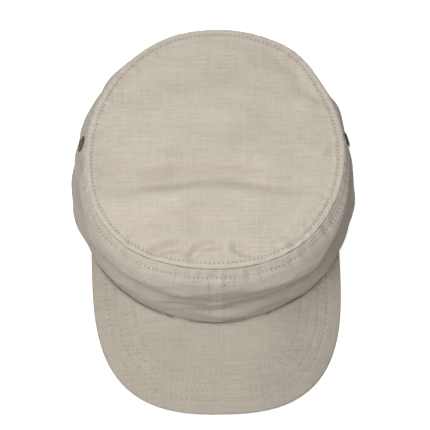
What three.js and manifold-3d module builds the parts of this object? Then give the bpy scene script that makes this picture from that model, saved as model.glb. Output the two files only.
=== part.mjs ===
// A soft patrol cap lying on a table: a flat oval crown top, two side panels that meet
// in seams at the front and the back, a stitched peak and two vent eyelets.
// Millimetres, +Z up, the peak towards -Y, the wearer's left side towards +X.

import * as THREE from 'three';
import { mergeVertices } from 'three/addons/utils/BufferGeometryUtils.js';
import Module from 'manifold-3d';

// Crown
const RIM_WIDTH = 184; // opening across the head, outside the cloth
const RIM_LENGTH = 194; // opening from brow to nape, outside the cloth
const TOP_WIDTH = 168; // crown top across
const TOP_LENGTH = 179; // crown top from front to back
const TOP_SETBACK = 1.5; // middle of the crown top behind the middle of the rim
const SEAM_HEIGHT_FRONT = 86; // top seam above the table at the front
const SEAM_HEIGHT_BACK = 80; // top seam above the table at the back
const TOP_DOME = 0.5; // middle of the crown top above its seam
const CLOTH = 1.3; // wall of doubled ripstop cloth
const SWELL = 8; // how far the wall bellies out between the rim and the top seam
const SWELL_SLUMP = 0.85; // 1 is widest half way up, less is widest lower down
const SHOULDER = 4.2; // how far the cloth under the top seam puffs out
const SHOULDER_ROLL = 0.12; // where it is out in full, below the seam as a share of the wall's height
const SHOULDER_FULL = 0.18; // where it starts to fall back
const SHOULDER_FADE = 0.55; // where it has died away
const CREASE_DEPTH = 8; // fold that the slumped upper wall presses in above the band
const CREASE_OVERHANG = 0.11; // reach of that fold upwards, as a share of the wall's height
const CREASE_SLOPE = 0.17; // and downwards, where the band comes out again
const TOP_FOLD_DEPTH = 3.5; // deepest soft fold of the crown top
const DENT_DEPTH = 5; // deepest soft dent of the side panels

// Shares of the wall's height and of the crown top's half size where folds die away
const RIM_HOLD = 0.12;
const SEAM_HOLD = 0.1;
const TOP_HOLD = 0.14;

// Peak
const PEAK_SPREAD = 65; // degrees round the rim from the front to each corner of the peak
const PEAK_LENGTH = 60; // from the front of the rim to the tip
const PEAK_THICKNESS = 2.8; // stiffened and quilted
const PEAK_ARCH = 17; // side edges below the middle line
const PEAK_FALL = 11; // tip below the root on the middle line
const PEAK_SKEW = 2; // tip to the +X side of the middle, as the soft cap lies askew
const PEAK_TIP_ROUNDNESS = 2.45; // 2 is an ellipse, more is squarer across the tip
const PEAK_SIDE_ROUNDNESS = 3.3; // and straighter along the sides
const PEAK_EDGE_ROUND = 0.36; // rounding of the outer edge, a share of its thickness
const PEAK_ALLOWANCE = 5; // root edge that lies inside the rim
const PEAK_CORNER_PROUD = 0.8; // corner of the peak beyond the rim
const REST_ANGLE = 112; // from the front to where the rim lies flat on the table

// Vent eyelets
const EYELET_HOLE = 5; // clear through the barrel
const EYELET_BARREL = 0.6; // wall of the barrel
const EYELET_FLANGE_REACH = 2.3; // flange beyond the barrel
const EYELET_FLANGE = 0.7; // thickness of each flange
const EYELET_ANGLE = 95; // from the front, to each side
const EYELET_RISE = 0.88; // share of the wall's height

const CLEARANCE = 0.3; // between pieces that are sewn or pressed together

// Steps of the faceted surfaces
const PANEL_STEPS = 42;
const WALL_STEPS = 15;
const TOP_STEPS = 27;
const PEAK_STEPS = 40;
const PEAK_ROWS = 9;
const PEAK_ROW_CROWDING = 1.3; // rows closer together towards the outer edge
const EYELET_STEPS = 20;

// The side wall round the crown, a row every 20 degrees, 0 at the front and growing
// towards +X. seam is the top seam's distance from the middle as a share of its oval,
// swell a share of SWELL, crease a share of CREASE_DEPTH, fold the height of that crease
// as a share of the wall's height, and shoulder a share of SHOULDER.
const WALL_SECTIONS = [
  { angle: -180, seam: 0.998, swell: 0.60, crease: 0.20, fold: 0.40, shoulder: 0.00 },
  { angle: -160, seam: 0.998, swell: 0.60, crease: 0.10, fold: 0.42, shoulder: 0.10 },
  { angle: -140, seam: 0.985, swell: 0.92, crease: 0.25, fold: 0.40, shoulder: 0.40 },
  { angle: -120, seam: 0.978, swell: 1.32, crease: 0.10, fold: 0.42, shoulder: 0.30 },
  { angle: -100, seam: 0.985, swell: 1.05, crease: 0.15, fold: 0.46, shoulder: 0.20 },
  { angle: -80, seam: 1.012, swell: 0.98, crease: 0.35, fold: 0.47, shoulder: 0.45 },
  { angle: -60, seam: 1.058, swell: 0.78, crease: 0.50, fold: 0.43, shoulder: 0.80 },
  { angle: -40, seam: 1.062, swell: 0.60, crease: 0.60, fold: 0.38, shoulder: 0.95 },
  { angle: -20, seam: 1.018, swell: 0.50, crease: 0.35, fold: 0.35, shoulder: 1.00 },
  { angle: 0, seam: 1.000, swell: 0.48, crease: 0.20, fold: 0.32, shoulder: 1.00 },
  { angle: 20, seam: 1.019, swell: 0.50, crease: 0.45, fold: 0.35, shoulder: 1.00 },
  { angle: 40, seam: 1.043, swell: 0.60, crease: 0.90, fold: 0.40, shoulder: 1.00 },
  { angle: 60, seam: 1.037, swell: 0.98, crease: 1.00, fold: 0.44, shoulder: 0.95 },
  { angle: 80, seam: 1.022, swell: 0.84, crease: 0.65, fold: 0.47, shoulder: 0.35 },
  { angle: 100, seam: 1.005, swell: 0.75, crease: 0.20, fold: 0.48, shoulder: 0.20 },
  { angle: 120, seam: 0.998, swell: 0.72, crease: 0.10, fold: 0.46, shoulder: 0.15 },
  { angle: 140, seam: 1.028, swell: 0.66, crease: 0.20, fold: 0.42, shoulder: 0.75 },
  { angle: 160, seam: 1.012, swell: 0.60, crease: 0.15, fold: 0.40, shoulder: 0.60 },
];
const SECTION_SPACING = 20;

// Soft dents of the side panels. angle is the middle and wide the half width in degrees,
// rise the middle and tall the half height as shares of the wall's height, lean the rise
// gained over one half width, and deep a share of DENT_DEPTH, below 0 where it puffs out.
const WALL_DENTS = [
  { angle: 128, wide: 9, rise: 0.84, tall: 0.26, lean: 0.00, deep: 1.10 },
  { angle: 112, wide: 7, rise: 0.90, tall: 0.20, lean: 0.00, deep: -0.40 },
  { angle: 100, wide: 7, rise: 0.72, tall: 0.24, lean: 0.08, deep: 0.35 },
  { angle: -116, wide: 6, rise: 0.80, tall: 0.22, lean: 0.05, deep: 0.35 },
  { angle: -76, wide: 12, rise: 0.70, tall: 0.10, lean: -0.10, deep: 0.30 },
  { angle: -160, wide: 9, rise: 0.60, tall: 0.16, lean: 0.12, deep: 0.50 },
  { angle: 164, wide: 8, rise: 0.55, tall: 0.18, lean: -0.10, deep: 0.50 },
  { angle: -3, wide: 16, rise: 0.24, tall: 0.06, lean: 0.00, deep: 0.50 },
  { angle: 48, wide: 14, rise: 0.18, tall: 0.16, lean: 0.00, deep: -0.35 },
];

// Soft folds of the crown top. across and along are the middle, as shares of half its
// width and half its length, turn is in degrees from across, long and wide are half
// sizes as shares of half its width, and deep is a share of TOP_FOLD_DEPTH.
const TOP_FOLDS = [
  { across: -0.06, along: -0.23, turn: 0, long: 0.36, wide: 0.09, deep: 0.75 },
  { across: -0.60, along: -0.28, turn: 9, long: 0.32, wide: 0.09, deep: 0.50 },
  { across: 0.44, along: -0.28, turn: -12, long: 0.30, wide: 0.09, deep: 0.60 },
  { across: -0.05, along: -0.42, turn: 0, long: 0.90, wide: 0.15, deep: -0.30 },
  { across: -0.25, along: -0.58, turn: 0, long: 0.30, wide: 0.07, deep: 0.35 },
  { across: 0.78, along: -0.21, turn: -18, long: 0.22, wide: 0.07, deep: 0.50 },
  { across: -0.84, along: -0.16, turn: -8, long: 0.20, wide: 0.08, deep: 0.50 },
  { across: -0.74, along: 0.16, turn: 60, long: 0.16, wide: 0.07, deep: 0.50 },
  { across: 0.10, along: 0.34, turn: 8, long: 0.55, wide: 0.20, deep: -0.45 },
  { across: 0.62, along: 0.62, turn: -50, long: 0.28, wide: 0.08, deep: 0.55 },
];

const CLOTH_FINISH = { color: 0xc3baad, roughness: 0.9, metalness: 0 };
const BRASS_FINISH = { color: 0x6a5a3e, roughness: 0.45, metalness: 0.9 };

const UP = new THREE.Vector3(0, 0, 1);
const radians = THREE.MathUtils.degToRad;

// Curves and blends

function smoothStep(from, to, value) {
  return THREE.MathUtils.smoothstep(value, from, to);
}

function bell(distance) {
  return Math.exp(-distance * distance);
}

// A smooth value between the rows of WALL_SECTIONS, going once round the crown.
function sectionValue(column, angle) {
  const rows = WALL_SECTIONS.length;
  const place = (angle - WALL_SECTIONS[0].angle) / SECTION_SPACING;
  const row = Math.floor(place);
  const share = place - row;
  const [a, b, c, d] = [-1, 0, 1, 2].map((step) => WALL_SECTIONS[(row + step + rows) % rows][column]);
  const bend = 2 * a - 5 * b + 4 * c - d + share * (3 * (b - c) + d - a);
  return b + 0.5 * share * (c - a + share * bend);
}

// A point of an oval, 0 degrees at the front and growing towards +X.
function ovalPoint(width, length, angle) {
  const turn = radians(angle);
  return new THREE.Vector3((width / 2) * Math.sin(turn), (-length / 2) * Math.cos(turn), 0);
}

// Peak surface

const PEAK_CORNER = ovalPoint(RIM_WIDTH, RIM_LENGTH, PEAK_SPREAD);
const PEAK_HALF_WIDTH = PEAK_CORNER.x + PEAK_CORNER_PROUD;
const PEAK_REACH = RIM_LENGTH / 2 + PEAK_LENGTH + PEAK_CORNER.y;

// Outer edge of the peak in plan, share -1 at one corner, 0 at the tip, 1 at the other.
function peakEdgePoint(share) {
  const turn = radians(90 * share);
  const across = Math.sign(turn) * Math.abs(Math.sin(turn)) ** (2 / PEAK_TIP_ROUNDNESS);
  const along = Math.max(Math.cos(turn), 0) ** (2 / PEAK_SIDE_ROUNDNESS);
  const x = PEAK_HALF_WIDTH * across + PEAK_SKEW * along;
  return new THREE.Vector3(x, PEAK_CORNER.y - PEAK_REACH * along, 0);
}

// How far the top of the peak lies below its root on the middle line.
function peakDrop(x, y) {
  const forward = (-RIM_LENGTH / 2 - y) / PEAK_LENGTH;
  const across = x / PEAK_HALF_WIDTH;
  return PEAK_FALL * forward + PEAK_ARCH * across * across;
}

// A place on the peak in plan, inwards 0 at the outer edge and 1 at the hidden root edge.
function peakPlanPoint(inwards, share) {
  const root = ovalPoint(RIM_WIDTH, RIM_LENGTH, PEAK_SPREAD * share);
  root.multiplyScalar(1 - PEAK_ALLOWANCE / (RIM_LENGTH / 2));
  return peakEdgePoint(share).lerp(root, inwards ** PEAK_ROW_CROWDING);
}

// The peak's side edges lie on the table, which gives the height of its root.
function peakRootHeight() {
  const depths = gridOf(PEAK_ROWS, PEAK_STEPS, (row, column) => {
    const point = peakPlanPoint(row, 2 * column - 1);
    return peakDrop(point.x, point.y) + PEAK_THICKNESS * (row === 0 ? 1 - PEAK_EDGE_ROUND : 1);
  });
  return Math.max(...depths.flat());
}

const PEAK_ROOT_HEIGHT = peakRootHeight();

function peakTopHeight(x, y) {
  return PEAK_ROOT_HEIGHT - peakDrop(x, y);
}

// Crown surface

// The rim lies on the peak at the front and comes down to the table behind it. inset is
// the distance inside the rim's outer edge.
function rimHeight(angle, inset) {
  const onPeak = THREE.MathUtils.clamp(angle, -PEAK_SPREAD, PEAK_SPREAD);
  const rim = ovalPoint(RIM_WIDTH - 2 * inset, RIM_LENGTH - 2 * inset, onPeak);
  const height = peakTopHeight(rim.x, rim.y) + CLEARANCE;
  return height * (1 - smoothStep(PEAK_SPREAD, REST_ANGLE, Math.abs(angle)));
}

function seamHeight(angle) {
  const front = (1 + Math.cos(radians(angle))) / 2;
  return SEAM_HEIGHT_BACK + (SEAM_HEIGHT_FRONT - SEAM_HEIGHT_BACK) * front;
}

function seamPoint(angle) {
  const point = ovalPoint(TOP_WIDTH, TOP_LENGTH, angle).multiplyScalar(sectionValue('seam', angle));
  point.y += TOP_SETBACK;
  point.z = seamHeight(angle);
  return point;
}

function outward(angle) {
  const turn = radians(angle);
  return new THREE.Vector3(Math.sin(turn) / RIM_WIDTH, -Math.cos(turn) / RIM_LENGTH, 0).normalize();
}

// Distance of the wall outside the straight line from rim to seam.
function wallRelief(angle, rise) {
  const belly = Math.sin(Math.PI * rise ** SWELL_SLUMP);
  const hold = smoothStep(0, RIM_HOLD, rise) * (1 - smoothStep(1 - SEAM_HOLD, 1, rise));
  const aboveFold = rise - sectionValue('fold', angle);
  const valley = bell(aboveFold / (aboveFold > 0 ? CREASE_OVERHANG : CREASE_SLOPE));
  let relief = SWELL * sectionValue('swell', angle) * belly;
  relief -= CREASE_DEPTH * sectionValue('crease', angle) * valley * hold;
  const below = 1 - rise;
  const rolled = smoothStep(0, SHOULDER_ROLL, below) * (1 - smoothStep(SHOULDER_FULL, SHOULDER_FADE, below));
  relief += SHOULDER * sectionValue('shoulder', angle) * rolled;
  for (const dent of WALL_DENTS) {
    const around = THREE.MathUtils.euclideanModulo(angle - dent.angle + 180, 360) - 180;
    const side = around / dent.wide;
    const height = (rise - dent.rise - dent.lean * side) / dent.tall;
    relief -= DENT_DEPTH * dent.deep * bell(side) * bell(height) * hold;
  }
  return relief;
}

// A point of the crown's outside, rise 0 at the rim and 1 at the top seam.
function wallPoint(angle, rise) {
  const rim = ovalPoint(RIM_WIDTH, RIM_LENGTH, angle);
  rim.z = rimHeight(angle, 0);
  const point = rim.lerp(seamPoint(angle), rise);
  return point.addScaledVector(outward(angle), wallRelief(angle, rise));
}

function wallNormal(angle, rise) {
  const step = 0.01;
  const around = wallPoint(angle + step, rise).sub(wallPoint(angle - step, rise));
  const low = Math.max(rise - step, 0);
  const high = Math.min(rise + step, 1);
  const upward = wallPoint(angle, high).sub(wallPoint(angle, low));
  return around.cross(upward).normalize();
}

// A point of the cloth's inside. The top edge goes in level, and the rim goes in along
// what it rests on.
function wallInnerPoint(angle, rise) {
  const normal = wallNormal(angle, rise);
  if (rise === 0 || rise === 1) {
    normal.setZ(0).normalize();
  }
  const point = wallPoint(angle, rise).addScaledVector(normal, -CLOTH);
  if (rise === 0) {
    point.z = rimHeight(angle, CLOTH);
  }
  return point;
}

// Solids from grids

// A closed body between two grids of points, its rows going up and in, and its columns
// going round towards +X when seen from the front. Both grids have the same rows.
function bodyBetween(outer, inner) {
  const corners = [];
  const addTriangle = (...points) => {
    points.forEach((point) => corners.push(point.x, point.y, point.z));
  };
  const addQuad = (a, b, c, d) => {
    addTriangle(a, b, c);
    addTriangle(a, c, d);
  };
  const rows = outer.length - 1;
  const columns = outer[0].length - 1;
  for (let row = 0; row < rows; row += 1) {
    for (let column = 0; column < columns; column += 1) {
      const next = column + 1;
      addQuad(outer[row][column], outer[row][next], outer[row + 1][next], outer[row + 1][column]);
      addQuad(inner[row][column], inner[row + 1][column], inner[row + 1][next], inner[row][next]);
    }
  }
  for (let column = 0; column < columns; column += 1) {
    const next = column + 1;
    addQuad(outer[0][column], inner[0][column], inner[0][next], outer[0][next]);
    addQuad(outer[rows][column], outer[rows][next], inner[rows][next], inner[rows][column]);
  }
  for (let row = 0; row < rows; row += 1) {
    const up = row + 1;
    addQuad(outer[row][0], outer[up][0], inner[up][0], inner[row][0]);
    addQuad(outer[row][columns], inner[row][columns], inner[up][columns], outer[up][columns]);
  }
  const geometry = new THREE.BufferGeometry();
  geometry.setAttribute('position', new THREE.Float32BufferAttribute(corners, 3));
  return mergeVertices(geometry, 1e-4);
}

function gridOf(rows, columns, pointAt) {
  const grid = [];
  for (let row = 0; row <= rows; row += 1) {
    const line = [];
    for (let column = 0; column <= columns; column += 1) {
      line.push(pointAt(row / rows, column / columns));
    }
    grid.push(line);
  }
  return grid;
}

// Cutting with manifold-3d

const manifold = await Module();
manifold.setup();

function toManifold(geometry) {
  const bare = geometry.clone();
  bare.deleteAttribute('normal');
  bare.deleteAttribute('uv');
  const merged = mergeVertices(bare, 1e-4);
  return new manifold.Manifold(new manifold.Mesh({
    numProp: 3,
    vertProperties: new Float32Array(merged.attributes.position.array),
    triVerts: new Uint32Array(merged.index.array),
  }));
}

function cutAway(geometry, cutter) {
  const mesh = toManifold(geometry).subtract(toManifold(cutter)).getMesh();
  const result = new THREE.BufferGeometry();
  result.setAttribute('position', new THREE.BufferAttribute(mesh.vertProperties, 3));
  result.setIndex(new THREE.BufferAttribute(mesh.triVerts, 1));
  return result;
}

// Eyelets

// A turned spool through the wall, its axis along Y. growth gives the room that it needs
// in the cloth, which is larger all round and has no hole.
function eyeletGeometry(growth) {
  const hole = growth > 0 ? 0 : EYELET_HOLE / 2;
  const barrel = EYELET_HOLE / 2 + EYELET_BARREL + growth;
  const outer = barrel + EYELET_FLANGE_REACH;
  const seat = CLOTH / 2 + CLEARANCE - growth;
  const face = CLOTH / 2 + CLEARANCE + EYELET_FLANGE + growth;
  const round = EYELET_FLANGE / 2;
  const flange = [[barrel, seat], [outer - round / 2, seat], [outer, face - round], [outer - round, face]];
  const lower = flange.map(([radius, height]) => [radius, -height]).reverse();
  const profile = [[hole, -face], ...lower, ...flange, [hole, face]];
  if (hole > 0) {
    profile.push([hole, -face]);
  }
  const points = profile.map(([radius, height]) => new THREE.Vector2(radius, height));
  return new THREE.LatheGeometry(points, EYELET_STEPS);
}

// Turns and moves an eyelet's own axis to the wall's normal at its place.
function eyeletPlacement(side) {
  const angle = side * EYELET_ANGLE;
  const normal = wallNormal(angle, EYELET_RISE);
  const centre = wallPoint(angle, EYELET_RISE).addScaledVector(normal, -CLOTH / 2);
  const turn = new THREE.Quaternion().setFromUnitVectors(new THREE.Vector3(0, 1, 0), normal);
  return { centre, turn };
}

// Pieces

function pieceMesh(name, geometry, finish) {
  geometry.computeVertexNormals();
  const mesh = new THREE.Mesh(geometry, new THREE.MeshStandardMaterial(finish));
  mesh.name = name;
  return mesh;
}

// One half of the crown's wall, side -1 towards -X and 1 towards +X.
function sidePanel(name, side) {
  const lap = THREE.MathUtils.radToDeg(Math.asin(CLEARANCE / Math.min(TOP_WIDTH, RIM_WIDTH)));
  const from = side > 0 ? lap : -180 + lap;
  const span = 180 - 2 * lap;
  const angleAt = (share) => from + span * share;
  const outer = gridOf(WALL_STEPS, PANEL_STEPS, (rise, share) => wallPoint(angleAt(share), rise));
  const inner = gridOf(WALL_STEPS, PANEL_STEPS, (rise, share) => wallInnerPoint(angleAt(share), rise));
  const { centre, turn } = eyeletPlacement(side);
  const room = eyeletGeometry(CLEARANCE).applyQuaternion(turn).translate(centre.x, centre.y, centre.z);
  return pieceMesh(name, cutAway(bodyBetween(outer, inner), room), CLOTH_FINISH);
}

// A point of the crown top's outside. across and along go from -1 to 1 over a square
// that is drawn in to the seam's oval.
function topPoint(across, along) {
  const x = across * Math.sqrt(1 - (along * along) / 2);
  const y = along * Math.sqrt(1 - (across * across) / 2);
  const radius = Math.hypot(x, y);
  const seam = seamPoint(THREE.MathUtils.radToDeg(Math.atan2(x, -y)));
  const middle = new THREE.Vector3(0, TOP_SETBACK, (SEAM_HEIGHT_FRONT + SEAM_HEIGHT_BACK) / 2 + TOP_DOME);
  const point = middle.clone().lerp(seam, radius);
  point.z = THREE.MathUtils.lerp(middle.z, seam.z, radius * radius * (2 - radius * radius));
  return point.addScaledVector(UP, CLEARANCE + CLOTH - topFoldDepth(x, y, radius));
}

// Depth of the crown top's folds at a place given in shares of its half sizes.
function topFoldDepth(x, y, radius) {
  let depth = 0;
  for (const fold of TOP_FOLDS) {
    const turn = radians(fold.turn);
    const offX = x - fold.across;
    const offY = (y - fold.along) * (TOP_LENGTH / TOP_WIDTH);
    const along = (offX * Math.cos(turn) + offY * Math.sin(turn)) / fold.long;
    const across = (offY * Math.cos(turn) - offX * Math.sin(turn)) / fold.wide;
    depth += TOP_FOLD_DEPTH * fold.deep * bell(along * along) * bell(across);
  }
  return depth * (1 - smoothStep(1 - TOP_HOLD, 1, radius));
}

// The crown top lies over the side panels' upper edge and is bevelled at its own edge.
function crownTop() {
  const spread = (share) => {
    const side = 2 * share - 1;
    return (side + Math.sin((Math.PI / 2) * side)) / 2;
  };
  const bevel = CLOTH / 2;
  const surface = (drop, edgeDrop) => gridOf(TOP_STEPS, TOP_STEPS, (row, column) => {
    const point = topPoint(spread(column), spread(row));
    const onEdge = [row, column].some((share) => share === 0 || share === 1);
    return point.addScaledVector(UP, onEdge ? -edgeDrop : -drop);
  });
  return pieceMesh('crown_top', bodyBetween(surface(0, bevel), surface(CLOTH, CLOTH)), CLOTH_FINISH);
}

// The peak runs from its rounded outer edge in under the front of the rim.
function peak() {
  const surface = (drop, edgeDrop) => gridOf(PEAK_ROWS, PEAK_STEPS, (row, column) => {
    const point = peakPlanPoint(row, 2 * column - 1);
    point.z = peakTopHeight(point.x, point.y) - (row === 0 ? edgeDrop : drop);
    return point;
  });
  const round = PEAK_THICKNESS * PEAK_EDGE_ROUND;
  const body = bodyBetween(surface(0, round), surface(PEAK_THICKNESS, PEAK_THICKNESS - round));
  return pieceMesh('peak', body, CLOTH_FINISH);
}

function eyelet(name, side) {
  const { centre, turn } = eyeletPlacement(side);
  const mesh = pieceMesh(name, eyeletGeometry(0), BRASS_FINISH);
  mesh.position.copy(centre);
  mesh.quaternion.copy(turn);
  return mesh;
}

// Assembly, with the middle of its box over the origin and its lowest point on the table

const group = new THREE.Group();
group.add(
  crownTop(),
  sidePanel('crown_side_left', 1),
  sidePanel('crown_side_right', -1),
  peak(),
  eyelet('eyelet_left', 1),
  eyelet('eyelet_right', -1),
);
const box = new THREE.Box3().setFromObject(group, true);
const middle = box.getCenter(new THREE.Vector3());
group.position.set(-middle.x, -middle.y, -box.min.z);

export default group;
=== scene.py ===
"""A soft patrol cap in stone ripstop cotton, lying on a pale table.

The cap is a flat oval crown top, two side panels that meet in topstitched seams at the
front and the back, a quilted peak and two brass vent eyelets. Lengths are in metres.
"""

from __future__ import annotations

import logging
import math
from dataclasses import dataclass, field
from enum import Enum
from typing import Callable, Sequence

import bpy
import numpy as np
from mathutils import Matrix, Vector

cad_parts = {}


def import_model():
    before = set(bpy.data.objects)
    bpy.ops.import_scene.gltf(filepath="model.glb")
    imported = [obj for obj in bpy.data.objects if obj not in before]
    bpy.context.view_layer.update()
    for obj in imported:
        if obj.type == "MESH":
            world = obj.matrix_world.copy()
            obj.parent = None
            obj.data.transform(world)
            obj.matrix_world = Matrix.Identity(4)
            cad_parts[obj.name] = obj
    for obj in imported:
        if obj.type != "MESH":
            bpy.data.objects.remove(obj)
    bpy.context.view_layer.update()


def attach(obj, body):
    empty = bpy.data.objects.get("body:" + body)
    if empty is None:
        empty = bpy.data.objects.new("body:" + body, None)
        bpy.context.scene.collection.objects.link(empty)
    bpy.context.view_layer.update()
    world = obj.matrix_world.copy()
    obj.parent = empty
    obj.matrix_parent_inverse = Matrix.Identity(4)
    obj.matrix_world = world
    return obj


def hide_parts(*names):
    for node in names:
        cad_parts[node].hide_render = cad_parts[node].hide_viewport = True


log = logging.getLogger("patrol_cap")

MM = 0.001
BODY = "root"
CROWN_AXIS = Vector((0.000652, 0.029112, 0.0))  # middle of the rim in the row frame
CROWN_MIDDLE = Vector((0.0, 0.0, 0.04))  # half way up the crown
LIFT_TONE = 0.3  # how much paler cloth is where it stands proud, and darker where it is sunk
EDGE_STEPS = ((2.4, 0.4), (8.0, 0.8))  # mm from a sewn edge, and the length of the faces up to it

Array = np.ndarray
Colour = tuple[float, float, float]
Material = bpy.types.Material
Piece = bpy.types.Object
Socket = bpy.types.NodeSocket
Tree = bpy.types.ShaderNodeTree


# Curves and blends


def smooth_step(low: float, high: float, value: Array) -> Array:
    """Return a smooth blend that is 0 up to low and 1 from high on."""
    share = np.clip((value - low) / (high - low), 0.0, 1.0)
    return share * share * (3.0 - 2.0 * share)


def bell(distance: Array) -> Array:
    """Return a soft hump that is 1 at distance 0 and gone by about 2."""
    return np.exp(-np.square(distance))


@dataclass(frozen=True)
class Fade:
    """A smooth blend, 0 below low and 1 above high."""

    low: float
    high: float

    def at(self, value: Array) -> Array:
        """Return the blend at each place."""
        return smooth_step(self.low, self.high, value)


@dataclass(frozen=True)
class Hump:
    """A soft hump, 1 at its middle and gone about two reaches away."""

    middle: float
    reach: float

    def at(self, value: Array) -> Array:
        """Return the height of the hump at each place."""
        return bell((value - self.middle) / self.reach)


def unit(vectors: Array) -> Array:
    """Return the vectors scaled to length 1."""
    length = np.linalg.norm(vectors, axis=-1, keepdims=True)
    return vectors / np.maximum(length, 1e-12)


def edge_roll(distance: Array, radius: float) -> Array:
    """Return how far a quarter round draws an edge in, at distances from the edge."""
    share = np.clip(1.0 - distance / radius, 0.0, 1.0)
    return radius * (1.0 - np.sqrt(1.0 - share * share))


@dataclass(frozen=True)
class Ripple:
    """A smooth field of soft waves over a cloth, the same at each run."""

    wave_u: float
    wave_v: float
    seed: int
    waves: int = 14

    def at(self, u: Array, v: Array) -> Array:
        """Height of the waves.

        Args:
            u: places along the cloth.
            v: places across the cloth.

        Returns:
            Heights that lie mostly between -1 and 1.
        """
        draw = np.random.default_rng(self.seed)
        total = np.zeros_like(u, dtype=float)
        for _ in range(self.waves):
            turn = draw.uniform(0.0, math.pi)
            size = draw.uniform(0.6, 1.5)
            phase = draw.uniform(0.0, 2.0 * math.pi)
            along = math.cos(turn) * size / self.wave_u
            across = math.sin(turn) * size / self.wave_v
            total += np.cos(2.0 * math.pi * (u * along + v * across) + phase)
        return total / math.sqrt(self.waves)


# The form of the cap


class Side(Enum):
    """The two halves of the crown's wall."""

    LEFT = 1
    RIGHT = -1


@dataclass(frozen=True)
class WallSection:
    """One upright section of the crown's wall.

    seam is the place of the top seam as a share of its oval, and swell, crease and
    shoulder are shares of the form's own. fold is the height of the crease.
    """

    angle: float
    seam: float
    swell: float
    crease: float
    fold: float
    shoulder: float


@dataclass(frozen=True)
class WallDent:
    """One soft dent of the crown's wall, or a puff where deep is negative.

    angle and wide are in degrees, rise and tall are shares of the wall's height, and
    lean is how much the dent rises over its width.
    """

    angle: float
    wide: float
    rise: float
    tall: float
    lean: float
    deep: float


@dataclass(frozen=True)
class TopFold:
    """One soft fold of the crown top.

    across and along are its place as shares of half the top's sizes, turn is in
    degrees, and long and wide are shares of half its width.
    """

    across: float
    along: float
    turn: float
    long: float
    wide: float
    deep: float


def make_rows(kind: type, rows: Sequence[tuple[float, ...]]) -> tuple:
    """Make one entry of a table from each row of its numbers."""
    return tuple(kind(*row) for row in rows)


# Sections every 20 degrees, from the back by the wearer's right side to the front and on.
WALL_SECTIONS = make_rows(WallSection, (
    (-180, 0.998, 0.60, 0.20, 0.40, 0.00),
    (-160, 0.998, 0.60, 0.10, 0.42, 0.10),
    (-140, 0.985, 0.92, 0.25, 0.40, 0.40),
    (-120, 0.978, 1.32, 0.10, 0.42, 0.30),
    (-100, 0.985, 1.05, 0.15, 0.46, 0.20),
    (-80, 1.012, 0.98, 0.35, 0.60, 0.45),
    (-60, 1.058, 0.78, 0.50, 0.62, 0.80),
    (-40, 1.062, 0.60, 0.65, 0.58, 0.95),
    (-20, 1.018, 0.50, 0.40, 0.50, 1.00),
    (0, 1.000, 0.48, 0.20, 0.32, 1.00),
    (20, 1.019, 0.50, 0.45, 0.40, 1.00),
    (40, 1.043, 0.60, 0.50, 0.50, 1.00),
    (60, 1.037, 0.80, 0.40, 0.60, 0.95),
    (80, 1.022, 0.66, 0.30, 0.60, 0.35),
    (100, 1.005, 0.75, 0.20, 0.60, 0.20),
    (120, 0.998, 0.72, 0.10, 0.46, 0.15),
    (140, 1.028, 0.66, 0.20, 0.42, 0.75),
    (160, 1.012, 0.60, 0.15, 0.40, 0.60),
))

# The wall's main dents and puffs.
WALL_DENTS = make_rows(WallDent, (
    (128, 9, 0.84, 0.26, 0.00, 1.10),
    (112, 7, 0.90, 0.20, 0.00, -0.40),
    (100, 7, 0.72, 0.24, 0.08, 0.35),
    (-116, 6, 0.80, 0.22, 0.05, 0.35),
    (-76, 12, 0.70, 0.10, -0.10, 0.30),
    (-160, 9, 0.60, 0.16, 0.12, 0.50),
    (164, 8, 0.55, 0.18, -0.10, 0.50),
    (-3, 16, 0.24, 0.06, 0.00, 0.50),
    (48, 14, 0.18, 0.16, 0.00, -0.35),
))

# Smaller creases that only this cloth shows, in the same terms.
WALL_CREASES = make_rows(WallDent, (
    (-14, 7, 0.30, 0.036, 0.03, 0.75),
    (13, 6, 0.31, 0.036, -0.03, 0.75),
    (0, 3, 0.24, 0.025, 0.00, 0.22),
    (1, 4, 0.52, 0.030, 0.02, 0.16),
    (-30, 8, 0.78, 0.060, 0.08, 0.18),
    (34, 9, 0.24, 0.060, -0.05, 0.26),
    (58, 9, 0.30, 0.060, -0.06, 0.30),
    (70, 9, 0.40, 0.070, 0.05, 0.34),
    (84, 8, 0.56, 0.060, 0.10, 0.34),
    (-62, 9, 0.40, 0.060, -0.08, 0.30),
    (-84, 5, 0.86, 0.070, 0.10, 0.80),
    (-104, 8, 0.55, 0.060, 0.10, 0.30),
    (-132, 12, 0.66, 0.070, 0.12, 0.40),
    (-150, 10, 0.30, 0.070, -0.10, 0.40),
    (106, 9, 0.42, 0.070, -0.10, 0.42),
    (136, 9, 0.56, 0.070, -0.12, 0.45),
    (150, 12, 0.26, 0.070, 0.08, 0.40),
    (176, 7, 0.66, 0.060, 0.03, 0.32),
    (-172, 8, 0.42, 0.060, -0.05, 0.38),
))


@dataclass(frozen=True)
class LongCrease:
    """One place on the long crease under the overhanging band of the wall."""

    angle: float
    rise: float
    deep: float


# The crease from one side of the crown over the front to the other, shallow at the front seam.
LONG_CREASES = make_rows(LongCrease, (
    (-96, 0.60, 0.0),
    (-78, 0.60, 0.30),
    (-60, 0.66, 0.70),
    (-48, 0.65, 0.80),
    (-38, 0.62, 0.85),
    (-26, 0.60, 0.80),
    (-16, 0.60, 0.50),
    (-8, 0.62, 0.05),
    (6, 0.43, 0.10),
    (15, 0.46, 0.65),
    (25, 0.535, 1.00),
    (35, 0.615, 1.00),
    (45, 0.72, 1.00),
    (50, 0.77, 0.95),
    (55, 0.81, 0.90),
    (60, 0.84, 0.85),
    (66, 0.85, 0.80),
    (74, 0.86, 0.60),
    (88, 0.85, 0.0),
))

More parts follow.
